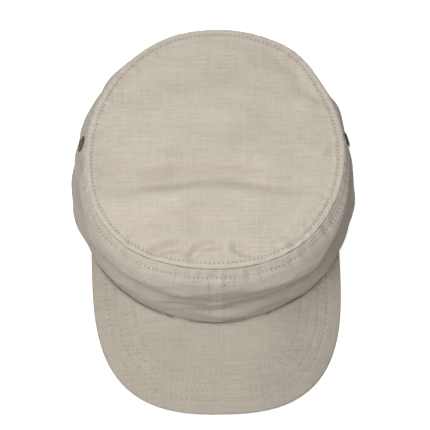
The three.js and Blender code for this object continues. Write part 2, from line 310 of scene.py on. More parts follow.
# The main folds of the crown top, which is pressed down where they are positive.
TOP_FOLDS = make_rows(TopFold, (
    (-0.06, -0.23, 0, 0.36, 0.09, 0.75),
    (-0.60, -0.28, 9, 0.32, 0.09, 0.50),
    (0.44, -0.28, -12, 0.30, 0.09, 0.60),
    (-0.05, -0.42, 0, 0.90, 0.15, -0.30),
    (-0.25, -0.58, 0, 0.30, 0.07, 0.35),
    (0.78, -0.21, -18, 0.22, 0.07, 0.50),
    (-0.84, -0.16, -8, 0.20, 0.08, 0.50),
    (-0.74, 0.16, 60, 0.16, 0.07, 0.50),
    (0.10, 0.34, 8, 0.55, 0.20, -0.45),
    (0.62, 0.62, -50, 0.28, 0.08, 0.55),
))

# Smaller wrinkles and puffs of the crown top, in the same terms.
TOP_WRINKLES = make_rows(TopFold, (
    (-0.06, -0.255, 1, 0.40, 0.075, 0.75),
    (0.34, -0.285, -9, 0.26, 0.065, 0.50),
    (-0.50, -0.290, 9, 0.26, 0.065, 0.50),
    (-0.38, -0.460, 3, 0.18, 0.020, 0.20),
    (0.05, -0.520, 4, 0.34, 0.022, 0.08),
    (-0.40, -0.815, 12, 0.15, 0.044, 1.15),
    (-0.16, -0.860, 50, 0.08, 0.036, 0.95),
    (-0.04, -0.810, 8, 0.07, 0.036, 0.95),
    (0.20, -0.845, -22, 0.09, 0.040, 1.05),
    (0.57, -0.780, 45, 0.07, 0.036, 0.95),
    (0.40, -0.860, -30, 0.05, 0.026, 0.22),
    (-0.62, -0.700, 40, 0.07, 0.028, 0.26),
    (0.84, -0.40, 60, 0.06, 0.030, 0.26),
    (0.90, -0.08, 15, 0.09, 0.030, 0.30),
    (-0.86, -0.24, 25, 0.10, 0.030, 0.26),
    (-0.90, 0.10, 35, 0.09, 0.030, 0.30),
    (-0.78, 0.46, 40, 0.08, 0.030, 0.26),
    (0.86, 0.36, -30, 0.10, 0.035, 0.30),
    (0.30, 0.10, 4, 0.28, 0.025, 0.10),
    (-0.30, -0.06, -5, 0.26, 0.025, 0.10),
    (0.22, 0.34, 3, 0.34, 0.025, 0.09),
    (-0.20, 0.60, 12, 0.24, 0.035, 0.12),
))


@dataclass(frozen=True)
class CapForm:
    """Sizes of the cap and the smooth surfaces that they give.

    Angles are in degrees round the crown, 0 at the front and growing towards +X. The
    middle of the rim is at x 0 and y 0 here.
    """

    rim_width: float = 184 * MM
    rim_length: float = 194 * MM
    top_width: float = 168 * MM
    top_length: float = 179 * MM
    top_setback: float = 1.5 * MM
    seam_height_front: float = 86 * MM
    seam_height_back: float = 80 * MM
    top_dome: float = 0.5 * MM
    cloth: float = 1.3 * MM
    swell: float = 8 * MM
    swell_slump: float = 0.85
    shoulder: float = 4.2 * MM
    shoulder_roll: float = 0.12
    shoulder_full: float = 0.18
    shoulder_fade: float = 0.55
    crease_depth: float = 8 * MM
    crease_overhang: float = 0.11
    crease_slope: float = 0.17
    top_fold_depth: float = 3.5 * MM
    dent_depth: float = 5 * MM
    rim_hold: float = 0.12
    seam_hold: float = 0.1
    top_hold: float = 0.14
    peak_spread: float = 65.0
    peak_length: float = 60 * MM
    peak_thickness: float = 2.8 * MM
    peak_arch: float = 17 * MM
    peak_fall: float = 11 * MM
    peak_skew: float = 2 * MM
    peak_tip_roundness: float = 2.45
    peak_side_roundness: float = 3.3
    peak_allowance: float = 5 * MM
    peak_corner_proud: float = 0.8 * MM
    rest_angle: float = 112.0
    eyelet_angle: float = 95.0
    eyelet_rise: float = 0.88
    clearance: float = 0.3 * MM
    section_spacing: float = 20.0
    peak_rest: float = 0.8  # share of the peak's thickness under its lowest top edge

    def section_value(self, column: str, angle: Array) -> Array:
        """A smooth value between the rows of WALL_SECTIONS.

        Args:
            column: name of a field of WallSection.
            angle: degrees round the crown.

        Returns:
            The value of that field at each angle.
        """
        values = np.array([getattr(row, column) for row in WALL_SECTIONS])
        place = (np.asarray(angle, float) - WALL_SECTIONS[0].angle) / self.section_spacing
        row = np.floor(place).astype(int)
        share = place - row
        a, b, c, d = (values[(row + step) % len(values)] for step in (-1, 0, 1, 2))
        bend = 2 * a - 5 * b + 4 * c - d + share * (3 * (b - c) + d - a)
        return b + 0.5 * share * (c - a + share * bend)

    @staticmethod
    def oval(width: float, length: float, angle: Array) -> Array:
        """Points of an oval in plan, as rows of x, y and 0."""
        turn = np.radians(np.asarray(angle, float))
        flat = np.zeros_like(turn)
        return np.stack([width / 2 * np.sin(turn), -length / 2 * np.cos(turn), flat], axis=-1)

    @property
    def peak_corner(self) -> Array:
        """Corner of the peak on the rim, on the +X side."""
        return self.oval(self.rim_width, self.rim_length, self.peak_spread)

    @property
    def peak_half_width(self) -> float:
        """Half of the peak's width."""
        return float(self.peak_corner[0] + self.peak_corner_proud)

    def peak_edge(self, share: Array) -> Array:
        """Outer edge of the peak in plan.

        Args:
            share: places along it, -1 and 1 at its corners and 0 at its tip.

        Returns:
            The points.
        """
        turn = np.radians(90.0 * np.asarray(share, float))
        across = np.sign(turn) * np.abs(np.sin(turn)) ** (2 / self.peak_tip_roundness)
        along = np.maximum(np.cos(turn), 0.0) ** (2 / self.peak_side_roundness)
        reach = self.rim_length / 2 + self.peak_length + self.peak_corner[1]
        x = self.peak_half_width * across + self.peak_skew * along
        return np.stack([x, self.peak_corner[1] - reach * along, np.zeros_like(x)], axis=-1)

    def peak_root(self, share: Array) -> Array:
        """Hidden root edge of the peak in plan, under the front of the rim."""
        scale = 1 - self.peak_allowance / (self.rim_length / 2)
        return self.oval(self.rim_width, self.rim_length, self.peak_spread * share) * scale

    def peak_drop(self, x: Array, y: Array) -> Array:
        """How far the top of the peak lies below its root on the middle line."""
        forward = (-self.rim_length / 2 - y) / self.peak_length
        return self.peak_fall * forward + self.peak_arch * np.square(x / self.peak_half_width)

    def peak_top(self, x: Array, y: Array) -> Array:
        """Height of the peak's top, whose lowest edge is near the table.

        Args:
            x: places across.
            y: places along.

        Returns:
            The height at each place.
        """
        share = np.linspace(-1.0, 1.0, 161)
        edge, root = self.peak_edge(share), self.peak_root(share)
        inwards = np.linspace(0.0, 1.0, 24)[:, None, None]
        plan = edge + (root - edge) * inwards
        deepest = np.max(self.peak_drop(plan[..., 0], plan[..., 1]))
        return deepest + self.peak_thickness * self.peak_rest - self.peak_drop(x, y)

    def rim_height(self, angle: Array) -> Array:
        """Height of the rim, which lies on the peak in front and on the table behind."""
        on_peak = np.clip(angle, -self.peak_spread, self.peak_spread)
        rim = self.oval(self.rim_width, self.rim_length, on_peak)
        height = self.peak_top(rim[..., 0], rim[..., 1]) + self.clearance
        return height * (1 - smooth_step(self.peak_spread, self.rest_angle, np.abs(angle)))

    def seam(self, angle: Array) -> Array:
        """Points of the seam round the crown top.

        Args:
            angle: degrees round the crown.

        Returns:
            The points.
        """
        front = (1 + np.cos(np.radians(angle))) / 2
        point = self.oval(self.top_width, self.top_length, angle)
        point = point * self.section_value("seam", angle)[..., None]
        point[..., 1] += self.top_setback
        rise = self.seam_height_front - self.seam_height_back
        point[..., 2] = self.seam_height_back + rise * front
        return point

    def outward(self, angle: Array) -> Array:
        """Level direction away from the crown's middle."""
        turn = np.radians(angle)
        flat = np.zeros_like(turn)
        across, along = np.sin(turn) / self.rim_width, -np.cos(turn) / self.rim_length
        return unit(np.stack([across, along, flat], axis=-1))

    def dents(self, table: Sequence[WallDent], angle: Array, rise: Array) -> Array:
        """Depth of a table of dents.

        Args:
            table: the dents.
            angle: degrees round the crown.
            rise: share of the wall's height.

        Returns:
            How far the dents press the wall in.
        """
        depth = np.zeros_like(rise, dtype=float)
        for dent in table:
            side = ((angle - dent.angle + 180.0) % 360.0 - 180.0) / dent.wide
            height = (rise - dent.rise - dent.lean * side) / dent.tall
            depth += self.dent_depth * dent.deep * bell(side) * bell(height)
        return depth

    def wall_relief(self, angle: Array, rise: Array) -> Array:
        """Distance of the wall outside the straight line from rim to seam.

        Args:
            angle: degrees round the crown.
            rise: share of the wall's height.

        Returns:
            The distance at each place.
        """
        belly = np.sin(np.pi * np.clip(rise, 0.0, 1.0) ** self.swell_slump)
        hold = smooth_step(0, self.rim_hold, rise) * (1 - smooth_step(1 - self.seam_hold, 1, rise))
        above = rise - self.section_value("fold", angle)
        valley = bell(above / np.where(above > 0, self.crease_overhang, self.crease_slope))
        relief = self.swell * self.section_value("swell", angle) * belly
        relief -= self.crease_depth * self.section_value("crease", angle) * valley * hold
        rolled = smooth_step(0, self.shoulder_roll, 1 - rise)
        rolled *= 1 - smooth_step(self.shoulder_full, self.shoulder_fade, 1 - rise)
        relief += self.shoulder * self.section_value("shoulder", angle) * rolled
        return relief - self.dents(WALL_DENTS, angle, rise) * hold

    def wall(self, angle: Array, rise: Array) -> Array:
        """Points of the crown's outside, rise 0 at the rim and 1 at the top seam."""
        rim = self.oval(self.rim_width, self.rim_length, angle)
        rim[..., 2] = self.rim_height(angle)
        point = rim + (self.seam(angle) - rim) * rise[..., None]
        return point + self.outward(angle) * self.wall_relief(angle, rise)[..., None]

    def top_folds(self, table: Sequence[TopFold], x: Array, y: Array) -> Array:
        """Depth of a table of folds of the crown top.

        Args:
            table: the folds.
            x: places as shares of half the width.
            y: places as shares of half the length.

        Returns:
            How far the folds press the top down.
        """
        depth = np.zeros_like(x, dtype=float)
        for fold in table:
            turn = math.radians(fold.turn)
            off_x = x - fold.across
            off_y = (y - fold.along) * (self.top_length / self.top_width)
            along = (off_x * math.cos(turn) + off_y * math.sin(turn)) / fold.long
            across = (off_y * math.cos(turn) - off_x * math.sin(turn)) / fold.wide
            depth += self.top_fold_depth * fold.deep * bell(along * along) * bell(across)
        return depth

    def top(self, x: Array, y: Array) -> Array:
        """Points of the crown top's outside.

        Args:
            x: places as shares of half the width.
            y: places as shares of half the length.

        Returns:
            The points.
        """
        radius = np.hypot(x, y)
        seam = self.seam(np.degrees(np.arctan2(x, -y)))
        middle_z = (self.seam_height_front + self.seam_height_back) / 2 + self.top_dome
        middle = np.array([0.0, self.top_setback, middle_z])
        point = middle + (seam - middle) * radius[..., None]
        blend = radius**2 * (2 - radius**2)
        point[..., 2] = middle_z + (seam[..., 2] - middle_z) * blend
        hold = 1 - smooth_step(1 - self.top_hold, 1, radius)
        point[..., 2] += self.clearance + self.cloth - self.top_folds(TOP_FOLDS, x, y) * hold
        return point


FORM = CapForm()


@dataclass(frozen=True)
class Sewing:
    """How the cap is sewn."""

    row_inset: float = 4.3 * MM  # topstitching beside the top seam
    row_beside: float = 4.8 * MM  # topstitching beside the front and back seams
    pitch: float = 2.8 * MM
    peak_pitch: float = 3.6 * MM
    peak_first_row: float = 9.2 * MM  # from the edge of the peak
    peak_row_spacing: float = 5.7 * MM
    peak_rows: int = 4
    thread: float = 0.27 * MM  # radius
    groove: float = 0.5 * MM
    groove_reach: float = 0.8 * MM
    peak_groove: float = 0.34 * MM
    row_shade: float = 0.06  # how much painted shade darkens a sewn groove
    top_row_shade: float = 0.13
    top_groove: float = 1.0 * MM
    top_groove_reach: float = 1.1 * MM
    lap: float = 0.45 * MM  # how far turned-in allowances lift the cloth
    top_puff: float = 1.25 * MM  # and the same for the crown top
    top_fall: float = 1.3 * MM  # how far the crown top sags towards its seam
    hem_roll: float = 1.0 * MM
    hem_groove: float = 1.1 * MM  # dip of the peak where the hem lies on it
    lip_radius: float = 0.3 * MM
    lip_depth: float = 1.0 * MM
    beside_roll: float = 0.25 * MM  # round of the edges at the front and back seams
    pucker: float = 0.40 * MM
    beside_share: float = 0.7  # of the top seam's sewing, at the front and back seams
    lap_below: Fade = Fade(4.8 * MM, 6.4 * MM)  # where the allowance ends below the top seam
    lap_beside: Fade = Fade(5.4 * MM, 6.8 * MM)
    pucker_below: Hump = Hump(3.5 * MM, 4.5 * MM)
    pucker_beside: Hump = Hump(3.2 * MM, 4.5 * MM)
    row_shade_reach: float = 0.7 * MM
    top_row_shade_reach: float = 0.9 * MM

    @property
    def peak_insets(self) -> list[float]:
        """Distance of each row on the peak from its edge."""
        return [self.peak_first_row + row * self.peak_row_spacing for row in range(self.peak_rows)]


SEWING = Sewing()


# Meshes


def deselect_all() -> None:
    """Deselect every object."""
    if bpy.context.object is not None and bpy.context.object.mode != "OBJECT":
        bpy.ops.object.mode_set(mode="OBJECT")
    bpy.ops.object.select_all(action="DESELECT")


def select_only(piece: Piece) -> None:
    """Select one object and make it active."""
    deselect_all()
    piece.select_set(True)
    bpy.context.view_layer.objects.active = piece


def lift_tone(lift: Array, proud: float) -> Array:
    """Return how much paler cloth is where it stands up and darker where it is sunk, most by proud
    or more.
    """
    return np.clip(lift / proud, -1.0, 1.0) * LIFT_TONE


def flat_cloth(name: str, columns: int, rows: int) -> tuple[Piece, Array, Array]:
    """Add a flat cloth as a grid of faces.

    Args:
        name: name of the piece.
        columns: faces along the cloth.
        rows: faces across it.

    Returns:
        The object, and for each vertex its column and its row.
    """
    deselect_all()
    bpy.ops.mesh.primitive_grid_add(x_subdivisions=columns, y_subdivisions=rows, size=2.0)
    piece = bpy.context.object
    piece.name = piece.data.name = name
    place = np.zeros(len(piece.data.vertices) * 3)
    piece.data.vertices.foreach_get("co", place)
    place = place.reshape(-1, 3)
    column = np.rint((place[:, 0] + 1) / 2 * columns).astype(int)
    row = np.rint((place[:, 1] + 1) / 2 * rows).astype(int)
    return piece, column, row


def set_points(piece: Piece, points: Array) -> None:
    """Move a mesh's vertices to points given round the crown's middle."""
    placed = points + np.array(CROWN_AXIS)
    piece.data.vertices.foreach_set("co", placed.astype(np.float32).ravel())
    piece.data.update()


def set_cloth_map(piece: Piece, u: Array, v: Array) -> None:
    """Lay the cloth's own coordinates over a mesh, in metres of flat cloth.

    Args:
        piece: the object.
        u: place of each vertex along the cloth.
        v: place of each vertex across the cloth.
    """
    mesh = piece.data
    layer = mesh.uv_layers.get("UVMap") or mesh.uv_layers.new(name="UVMap")
    corner = np.zeros(len(mesh.loops), dtype=np.int32)
    mesh.loops.foreach_get("vertex_index", corner)
    pairs = np.stack([u[corner], v[corner]], axis=1)
    layer.data.foreach_set("uv", pairs.astype(np.float32).ravel())


def set_value(piece: Piece, name: str, values: Array) -> None:
    """Store one number for each vertex of a mesh, for its material."""
    attribute = piece.data.attributes.new(name, "FLOAT", "POINT")
    attribute.data.foreach_set("value", values.astype(np.float32))


def face_out(piece: Piece, middle: Vector) -> None:
    """Turn an open cloth's faces away from a point inside the cap."""
    mesh = piece.data
    outward = sum((face.center - middle).dot(face.normal) * face.area for face in mesh.polygons)
    if outward < 0:
        mesh.flip_normals()


def thicken(piece: Piece, thickness: float) -> None:
    """Give an open cloth its thickness, towards its inside.

    Args:
        piece: the cloth.
        thickness: how thick it gets.
    """
    select_only(piece)
    wall = piece.modifiers.new("thickness", "SOLIDIFY")
    wall.thickness = thickness
    wall.offset = -1.0
    wall.use_even_offset = False
    bpy.ops.object.modifier_apply(modifier=wall.name)


def edit_faces(piece: Piece, chosen: Callable[[bpy.types.MeshPolygon], bool]) -> None:
    """Open a piece for editing, with some of its faces selected.

    Args:
        piece: the object.
        chosen: says of each face whether it is selected.
    """
    select_only(piece)
    bpy.ops.object.mode_set(mode="EDIT")
    bpy.ops.mesh.select_mode(type="FACE")
    bpy.ops.mesh.select_all(action="DESELECT")
    bpy.ops.object.mode_set(mode="OBJECT")
    for face in piece.data.polygons:
        face.select = chosen(face)
    bpy.ops.object.mode_set(mode="EDIT")


def merge_and_turn_out() -> None:
    """Merge the doubles of the mesh in hand, turn its faces outwards and stop editing."""
    bpy.ops.mesh.select_all(action="SELECT")
    bpy.ops.mesh.remove_doubles(threshold=1e-6)
    bpy.ops.mesh.normals_make_consistent(inside=False)
    bpy.ops.object.mode_set(mode="OBJECT")


def soften(piece: Piece, degrees: float = 50.0) -> None:
    """Shade a mesh smooth, with edges sharper than an angle left sharp."""
    select_only(piece)
    bpy.ops.object.shade_smooth_by_angle(angle=math.radians(degrees))


def dress(piece: Piece, finish: Material, slot: str, *nodes: str) -> None:
    """Give a piece its finish and its place in the frame.

    Args:
        piece: the object.
        finish: its material.
        slot: name of the piece's material slot; not used.
        nodes: the CAD nodes that it stands for.
    """
    piece.data.materials.clear()
    piece.data.materials.append(finish)
    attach(piece, BODY)
    if nodes:
        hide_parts(*nodes)
    log.info("%s: %d faces", piece.name, len(piece.data.polygons))


def spaced(stretches: Sequence[tuple[float, float]], start: float = 0.0) -> Array:
    """Places along a line whose steps change from stretch to stretch.

    Args:
        stretches: for each stretch, where it ends and its step.
        start: where the first stretch starts.

    Returns:
        The places, from start to the last end.
    """
    places = [np.array([start])]
    for end, step in stretches:
        count = max(1, int(round(abs(end - start) / step)))
        places.append(np.linspace(start, end, count + 1)[1:])
        start = end
    return np.concatenate(places)


def arc_lengths(points: Array) -> Array:
    """Return the length of a line of points up to each of them."""
    steps = np.linalg.norm(np.diff(points, axis=0), axis=1)
    return np.concatenate([[0.0], np.cumsum(steps)])


# Finishes


class NodeBook:
    """Adds and joins the nodes of one material or node group."""

    def __init__(self, tree: Tree) -> None:
        """Start with an empty tree."""
        self.tree = tree
        self.tree.nodes.clear()
        self.column = 0

    def add(self, kind: str, **values: object) -> bpy.types.Node:
        """Add a node.

        Args:
            kind: the node's type name.
            values: its properties.

        Returns:
            The node.
        """
        node = self.tree.nodes.new(kind)
        node.location = (180 * self.column, 0)
        self.column += 1
        for name, value in values.items():
            setattr(node, name, value)
        return node

    def feed(self, node: bpy.types.Node, values: dict[int | str, object]) -> bpy.types.Node:
        """Join a node's sockets to other nodes' outputs, or set their values.

        Args:
            node: the node.
            values: for each socket, the output or the value.

        Returns:
            The node.
        """
        for socket, value in values.items():
            if isinstance(value, Socket):
                self.tree.links.new(value, node.inputs[socket])
            else:
                node.inputs[socket].default_value = value
        return node

    def read(self, name: str) -> Socket:
        """Read one of the numbers stored on the mesh."""
        return self.add("ShaderNodeAttribute", attribute_name=name).outputs["Fac"]

    def place(self) -> Socket:
        """Read object coordinates."""
        return self.add("ShaderNodeTexCoord").outputs["Object"]

    def group(self, name: str, values: dict[int | str, object]) -> bpy.types.Node:
        """Place a shared node group with its own values."""
        return self.feed(self.add("ShaderNodeGroup", node_tree=bpy.data.node_groups[name]), values)

    def bump(self, strength: float, distance: float, height: Socket) -> Socket:
        """Add a Bump node and return its normal."""
        node = self.add("ShaderNodeBump")
        self.feed(node, {"Strength": strength, "Distance": distance, "Height": height})
        return node.outputs[0]

    def surface(self, values: dict[int | str, object]) -> None:
        """Add the material's shader with its values, and join it to the output."""
        shader = self.feed(self.add("ShaderNodeBsdfPrincipled"), values)
        self.feed(self.add("ShaderNodeOutputMaterial"), {"Surface": shader.outputs[0]})

    def sum(self, parts: Sequence[tuple[Socket, float]]) -> Socket:
        """Add up sockets, each with its share."""
        total, share = parts[0]
        total = self.math("MULTIPLY", total, share)
        for part, share in parts[1:]:
            total = self.math("ADD", total, self.math("MULTIPLY", part, share))
        return total

    def math(self, operation: str, *values: object, clamp: bool = False) -> Socket:
        """Add a Math node and return its output."""
        node = self.add("ShaderNodeMath", operation=operation, use_clamp=clamp)
        return self.feed(node, dict(enumerate(values))).outputs[0]

    def ramp(
        self, value: object, low: float, high: float, out_low: float = 0.0, out_high: float = 1.0
    ) -> Socket:
        """Blend smoothly between two values.

        Args:
            value: the socket to read.
            low: where the blend starts.
            high: where the blend ends.
            out_low: result below low.
            out_high: result above high.

        Returns:
            The blended value.
        """
        node = self.add("ShaderNodeMapRange", interpolation_type="SMOOTHSTEP")
        span = {"From Min": low, "From Max": high, "To Min": out_low, "To Max": out_high}
        return self.feed(node, {"Value": value, **span}).outputs["Result"]

    def noise(
        self, vector: Socket, scale: float, detail: float = 2.0, roughness: float = 0.5
    ) -> Socket:
        """Add a noise texture and return its value."""
        node = self.add("ShaderNodeTexNoise", noise_dimensions="3D")
        values = {"Vector": vector, "Scale": scale, "Detail": detail, "Roughness": roughness}
        return self.feed(node, values).outputs[0]

    def stretch(self, vector: Socket, x: float, y: float, z: float = 1.0) -> Socket:
        """Scale a vector along its axes."""
        node = self.add("ShaderNodeVectorMath", operation="MULTIPLY")
        return self.feed(node, {0: vector, 1: (x, y, z)}).outputs[0]

    def blend(self, factor: Socket, first: Colour | Socket, second: Colour | Socket) -> Socket:
        """Mix two colours.

        Args:
            factor: share of the second.
            first: colour or socket.
            second: colour or socket.

        Returns:
            The mixed colour.
        """
        node = self.add("ShaderNodeMix", data_type="RGBA", blend_type="MIX")
        solid = [(*part, 1.0) if isinstance(part, tuple) else part for part in (first, second)]
        return self.feed(node, {0: factor, 6: solid[0], 7: solid[1]}).outputs[2]


def new_material(name: str) -> tuple[Material, NodeBook]:
    """Make an empty material and its node book."""
    material = bpy.data.materials.new(name)
    material.use_nodes = True
    return material, NodeBook(material.node_tree)


def new_group(
    name: str, inputs: Sequence[tuple[str, str, float]], outputs: Sequence[str]
) -> tuple[Tree, NodeBook]:
    """Make an empty shader node group.

    Args:
        name: name of the group.
        inputs: name, socket type and value of each input.
        outputs: names of its outputs, which are numbers.

    Returns:
        The group and its node book.
    """
    group = bpy.data.node_groups.new(name, "ShaderNodeTree")
    book = NodeBook(group)
    for label, kind, value in inputs:
        socket = group.interface.new_socket(name=label, in_out="INPUT", socket_type=kind)
        if kind == "NodeSocketFloat":
            socket.default_value = value
    for label in outputs:
        group.interface.new_socket(name=label, in_out="OUTPUT", socket_type="NodeSocketFloat")
    return group, book


def ripstop_group() -> Tree:
    """Woven threads, the ripstop's heavier grid and slubs, over a cloth's own coordinates.

    Returns:
        The node group.
    """
    wander_scale, wander_reach = 260.0, 0.5 * MM
    line_start, line_end = 0.15 * MM, 0.5 * MM
    slub_close, slub_long = 1150.0, 60.0
    warp_share, weft_share = 0.38, 0.62
    weave_height, grid_height, slub_height = 0.5, 0.5, 0.8
    group, book = new_group(
        "ripstop_weave",
        [
            ("Cloth", "NodeSocketVector", 0.0),
            ("Grid Pitch", "NodeSocketFloat", 6.5 * MM),
            ("Thread Pitch", "NodeSocketFloat", 0.42 * MM),
        ],
        ["Height", "Slub", "Grid"],
    )
    source = book.add("NodeGroupInput")
    names = ("Cloth", "Grid Pitch", "Thread Pitch")
    cloth, pitch, thread = (source.outputs[name] for name in names)
    split = book.feed(book.add("ShaderNodeSeparateXYZ"), {0: cloth})
    wander = book.math("SUBTRACT", book.noise(cloth, wander_scale, 1.0), 0.5)
    lines, waves = [], []
    for axis in (0, 1):
        place = book.math("MULTIPLY_ADD", wander, wander_reach, split.outputs[axis])
        turns = book.math("FRACT", book.math("ADD", book.math("DIVIDE", place, pitch), 0.5))
        off = book.math("MULTIPLY", book.math("ABSOLUTE", book.math("SUBTRACT", turns, 0.5)), pitch)
        lines.append(book.ramp(off, line_start, line_end, 1.0, 0.0))
        phase = book.math("MULTIPLY", book.math("DIVIDE", place, thread), 2.0 * math.pi)
        waves.append(book.math("SINE", phase))
    grid = book.math("MAXIMUM", *lines)
    weave = book.math("MULTIPLY_ADD", book.math("MULTIPLY", *waves), 0.5, 0.5)
    warp = book.noise(book.stretch(cloth, slub_close, slub_long), 1.0)
    weft = book.noise(book.stretch(cloth, slub_long, slub_close), 1.0)
    slub = book.sum([(warp, warp_share), (weft, weft_share)])
    height = book.sum([(weave, weave_height), (grid, grid_height), (slub, slub_height)])
    book.feed(book.add("NodeGroupOutput"), {"Height": height, "Slub": slub, "Grid": grid})
    return group


def needle_group() -> Tree:
    """Needle holes along one row of stitches, and the pull of the thread round each.

    Returns:
        The node group.
    """
    hole_edge, pull_edge = (0.7, 1.3), (0.8, 3.2)
    group, book = new_group(
        "needle_row",
        [
            ("Along", "NodeSocketFloat", 0.0),
            ("Off", "NodeSocketFloat", 0.0),
            ("Pitch", "NodeSocketFloat", SEWING.pitch),
            ("Radius", "NodeSocketFloat", 0.36 * MM),
        ],
        ["Hole", "Pull"],
    )
    source = book.add("NodeGroupInput")
    names = ("Along", "Off", "Pitch", "Radius")
    along, off, pitch, radius = (source.outputs[name] for name in names)
    turns = book.math("ADD", book.math("DIVIDE", along, pitch), 0.5)
    near = book.math("MULTIPLY", book.math("SUBTRACT", book.math("FRACT", turns), 0.5), pitch)
    squares = book.math("ADD", book.math("MULTIPLY", near, near), book.math("MULTIPLY", off, off))
    reach = book.math("DIVIDE", book.math("SQRT", squares), radius)
    hole, pull = (book.ramp(reach, *edge, 1.0, 0.0) for edge in (hole_edge, pull_edge))
    book.feed(book.add("NodeGroupOutput"), {"Hole": hole, "Pull": pull})
    return group


def mottle_group() -> Tree:
    """Uneven fading of washed cloth, over object coordinates.

    Returns:
        The node group.
    """
    close_scale, broad_share, close_share = 9.0, 0.65, 0.35
    group, book = new_group(
        "washed_mottle",
        [("Place", "NodeSocketVector", 0.0), ("Size", "NodeSocketFloat", 30 * MM)],
        ["Tone"],
    )
    source = book.add("NodeGroupInput")
    per_size = book.math("DIVIDE", 1.0, source.outputs["Size"])
    scale = book.add("ShaderNodeVectorMath", operation="SCALE")
    spot = book.feed(scale, {0: source.outputs["Place"], "Scale": per_size}).outputs[0]
    broad = book.noise(spot, 1.0, 3.0, 0.55)
    close = book.noise(spot, close_scale, 2.0, 0.6)
    tone = book.sum([(broad, broad_share), (close, close_share)])
    book.feed(book.add("NodeGroupOutput"), {"Tone": tone})
    return group


@dataclass(frozen=True)
class ClothFinish:
    """Stone coloured cotton ripstop, washed and matt."""

    name: str
    light: Colour = (0.560, 0.512, 0.442)
    dark: Colour = (0.430, 0.388, 0.328)
    # painted shade of the needle holes, which the cloth's mesh does not open
    hole: Colour = (0.25, 0.22, 0.175)
    # colour of the painted shade in creases, sewn grooves, turned-in edges and along the hem
    gap: Colour = (0.10, 0.085, 0.065)
    roughness: float = 0.9
    slub_roughness: float = -0.12
    sheen: float = 0.12
    sheen_roughness: float = 0.5
    specular: float = 0.25
    mottle_share: float = 1.2
    slub_share: float = 2.1
    grid_share: float = 0.16
    # share of the tone by height, with the painted highlight along the wall's seam edges
    tone_and_highlight_share: float = 0.5
    # painted shade in the dimple that the thread pulls round each needle hole
    pull_share: float = -0.14
    hole_height: float = -2.0
    pull_height: float = -0.6
    bump: float = 0.32
    bump_depth: float = 0.25 * MM
    rows: tuple[tuple[str, str, float, float], ...] = ()  # along, off, inset and pitch of each row

    def build(self) -> Material:
        """Make the material.

        Returns:
            The material, which reads the cloth's own coordinates and seam distances.
        """
        material, book = new_material(self.name)
        cloth = book.add("ShaderNodeUVMap", uv_map="UVMap").outputs[0]
        weave = book.group("ripstop_weave", {"Cloth": cloth})
        mottle = book.group("washed_mottle", {"Place": book.place()})
        hole, pull = self.needle_holes(book)
        tone = book.math("SUBTRACT", mottle.outputs["Tone"], 0.5)
        tone = book.math("MULTIPLY_ADD", tone, self.mottle_share, 0.5)
        slub = book.math("SUBTRACT", weave.outputs["Slub"], 0.5)
        tone = book.math("MULTIPLY_ADD", slub, self.slub_share, tone)
        tone = book.math("MULTIPLY_ADD", weave.outputs["Grid"], self.grid_share, tone)
        tone = book.math("MULTIPLY_ADD", book.read("wear"), self.tone_and_highlight_share, tone)
        # Painted shade round each needle hole.
        tone = book.math("MULTIPLY_ADD", pull, self.pull_share, tone, clamp=True)
        colour = book.blend(tone, self.dark, self.light)
        # The needle holes are painted dark, as the shade inside each hole.
        colour = book.blend(hole, colour, self.hole)
        # Painted shade, as marked on the mesh.
        colour = book.blend(book.read("gap"), colour, self.gap)
        height = book.math("MULTIPLY_ADD", hole, self.hole_height, weave.outputs["Height"])
        height = book.math("MULTIPLY_ADD", pull, self.pull_height, height)
        book.surface({
            "Base Color": colour,
            "Roughness": book.math("MULTIPLY_ADD", slub, self.slub_roughness, self.roughness),
            "Normal": book.bump(self.bump, self.bump_depth, height),
            "Sheen Weight": self.sheen,
            "Sheen Roughness": self.sheen_roughness,
            "Specular IOR Level": self.specular,
        })
        return material

    def needle_holes(self, book: NodeBook) -> tuple[Socket, Socket]:
        """Mark the needle holes of every row.

        Args:
            book: the material's nodes.

        Returns:
            The holes, and the pull of the thread round them.
        """
        hole: float | Socket = 0.0
        pull: float | Socket = 0.0
        for along, off, inset, pitch in self.rows:
            away = book.math("SUBTRACT", book.read(off), inset)
            row = book.group("needle_row", {"Along": book.read(along), "Off": away, "Pitch": pitch})
            hole = book.math("MAXIMUM", hole, row.outputs["Hole"])
            pull = book.math("MAXIMUM", pull, row.outputs["Pull"])
        return hole, pull


@dataclass(frozen=True)
class ThreadFinish:
    """Twisted cotton sewing thread, dyed to match."""

    name: str = "sewing_thread"
    light: Colour = (0.66, 0.61, 0.53)
    dark: Colour = (0.46, 0.42, 0.355)
    twist_scale: float = 2600.0
    twist_edge: tuple[float, float] = (0.35, 0.65)
    roughness: float = 0.7
    bump: float = 0.4
    bump_depth: float = 0.1 * MM

    def build(self) -> Material:
        """Make the material.

        Returns:
            The material.
        """
        material, book = new_material(self.name)
        twist = book.noise(book.place(), self.twist_scale, 2.0, 0.6)
        book.surface({
            "Base Color": book.blend(book.ramp(twist, *self.twist_edge), self.dark, self.light),
            "Roughness": self.roughness,
            "Normal": book.bump(self.bump, self.bump_depth, twist),
        })
        return material


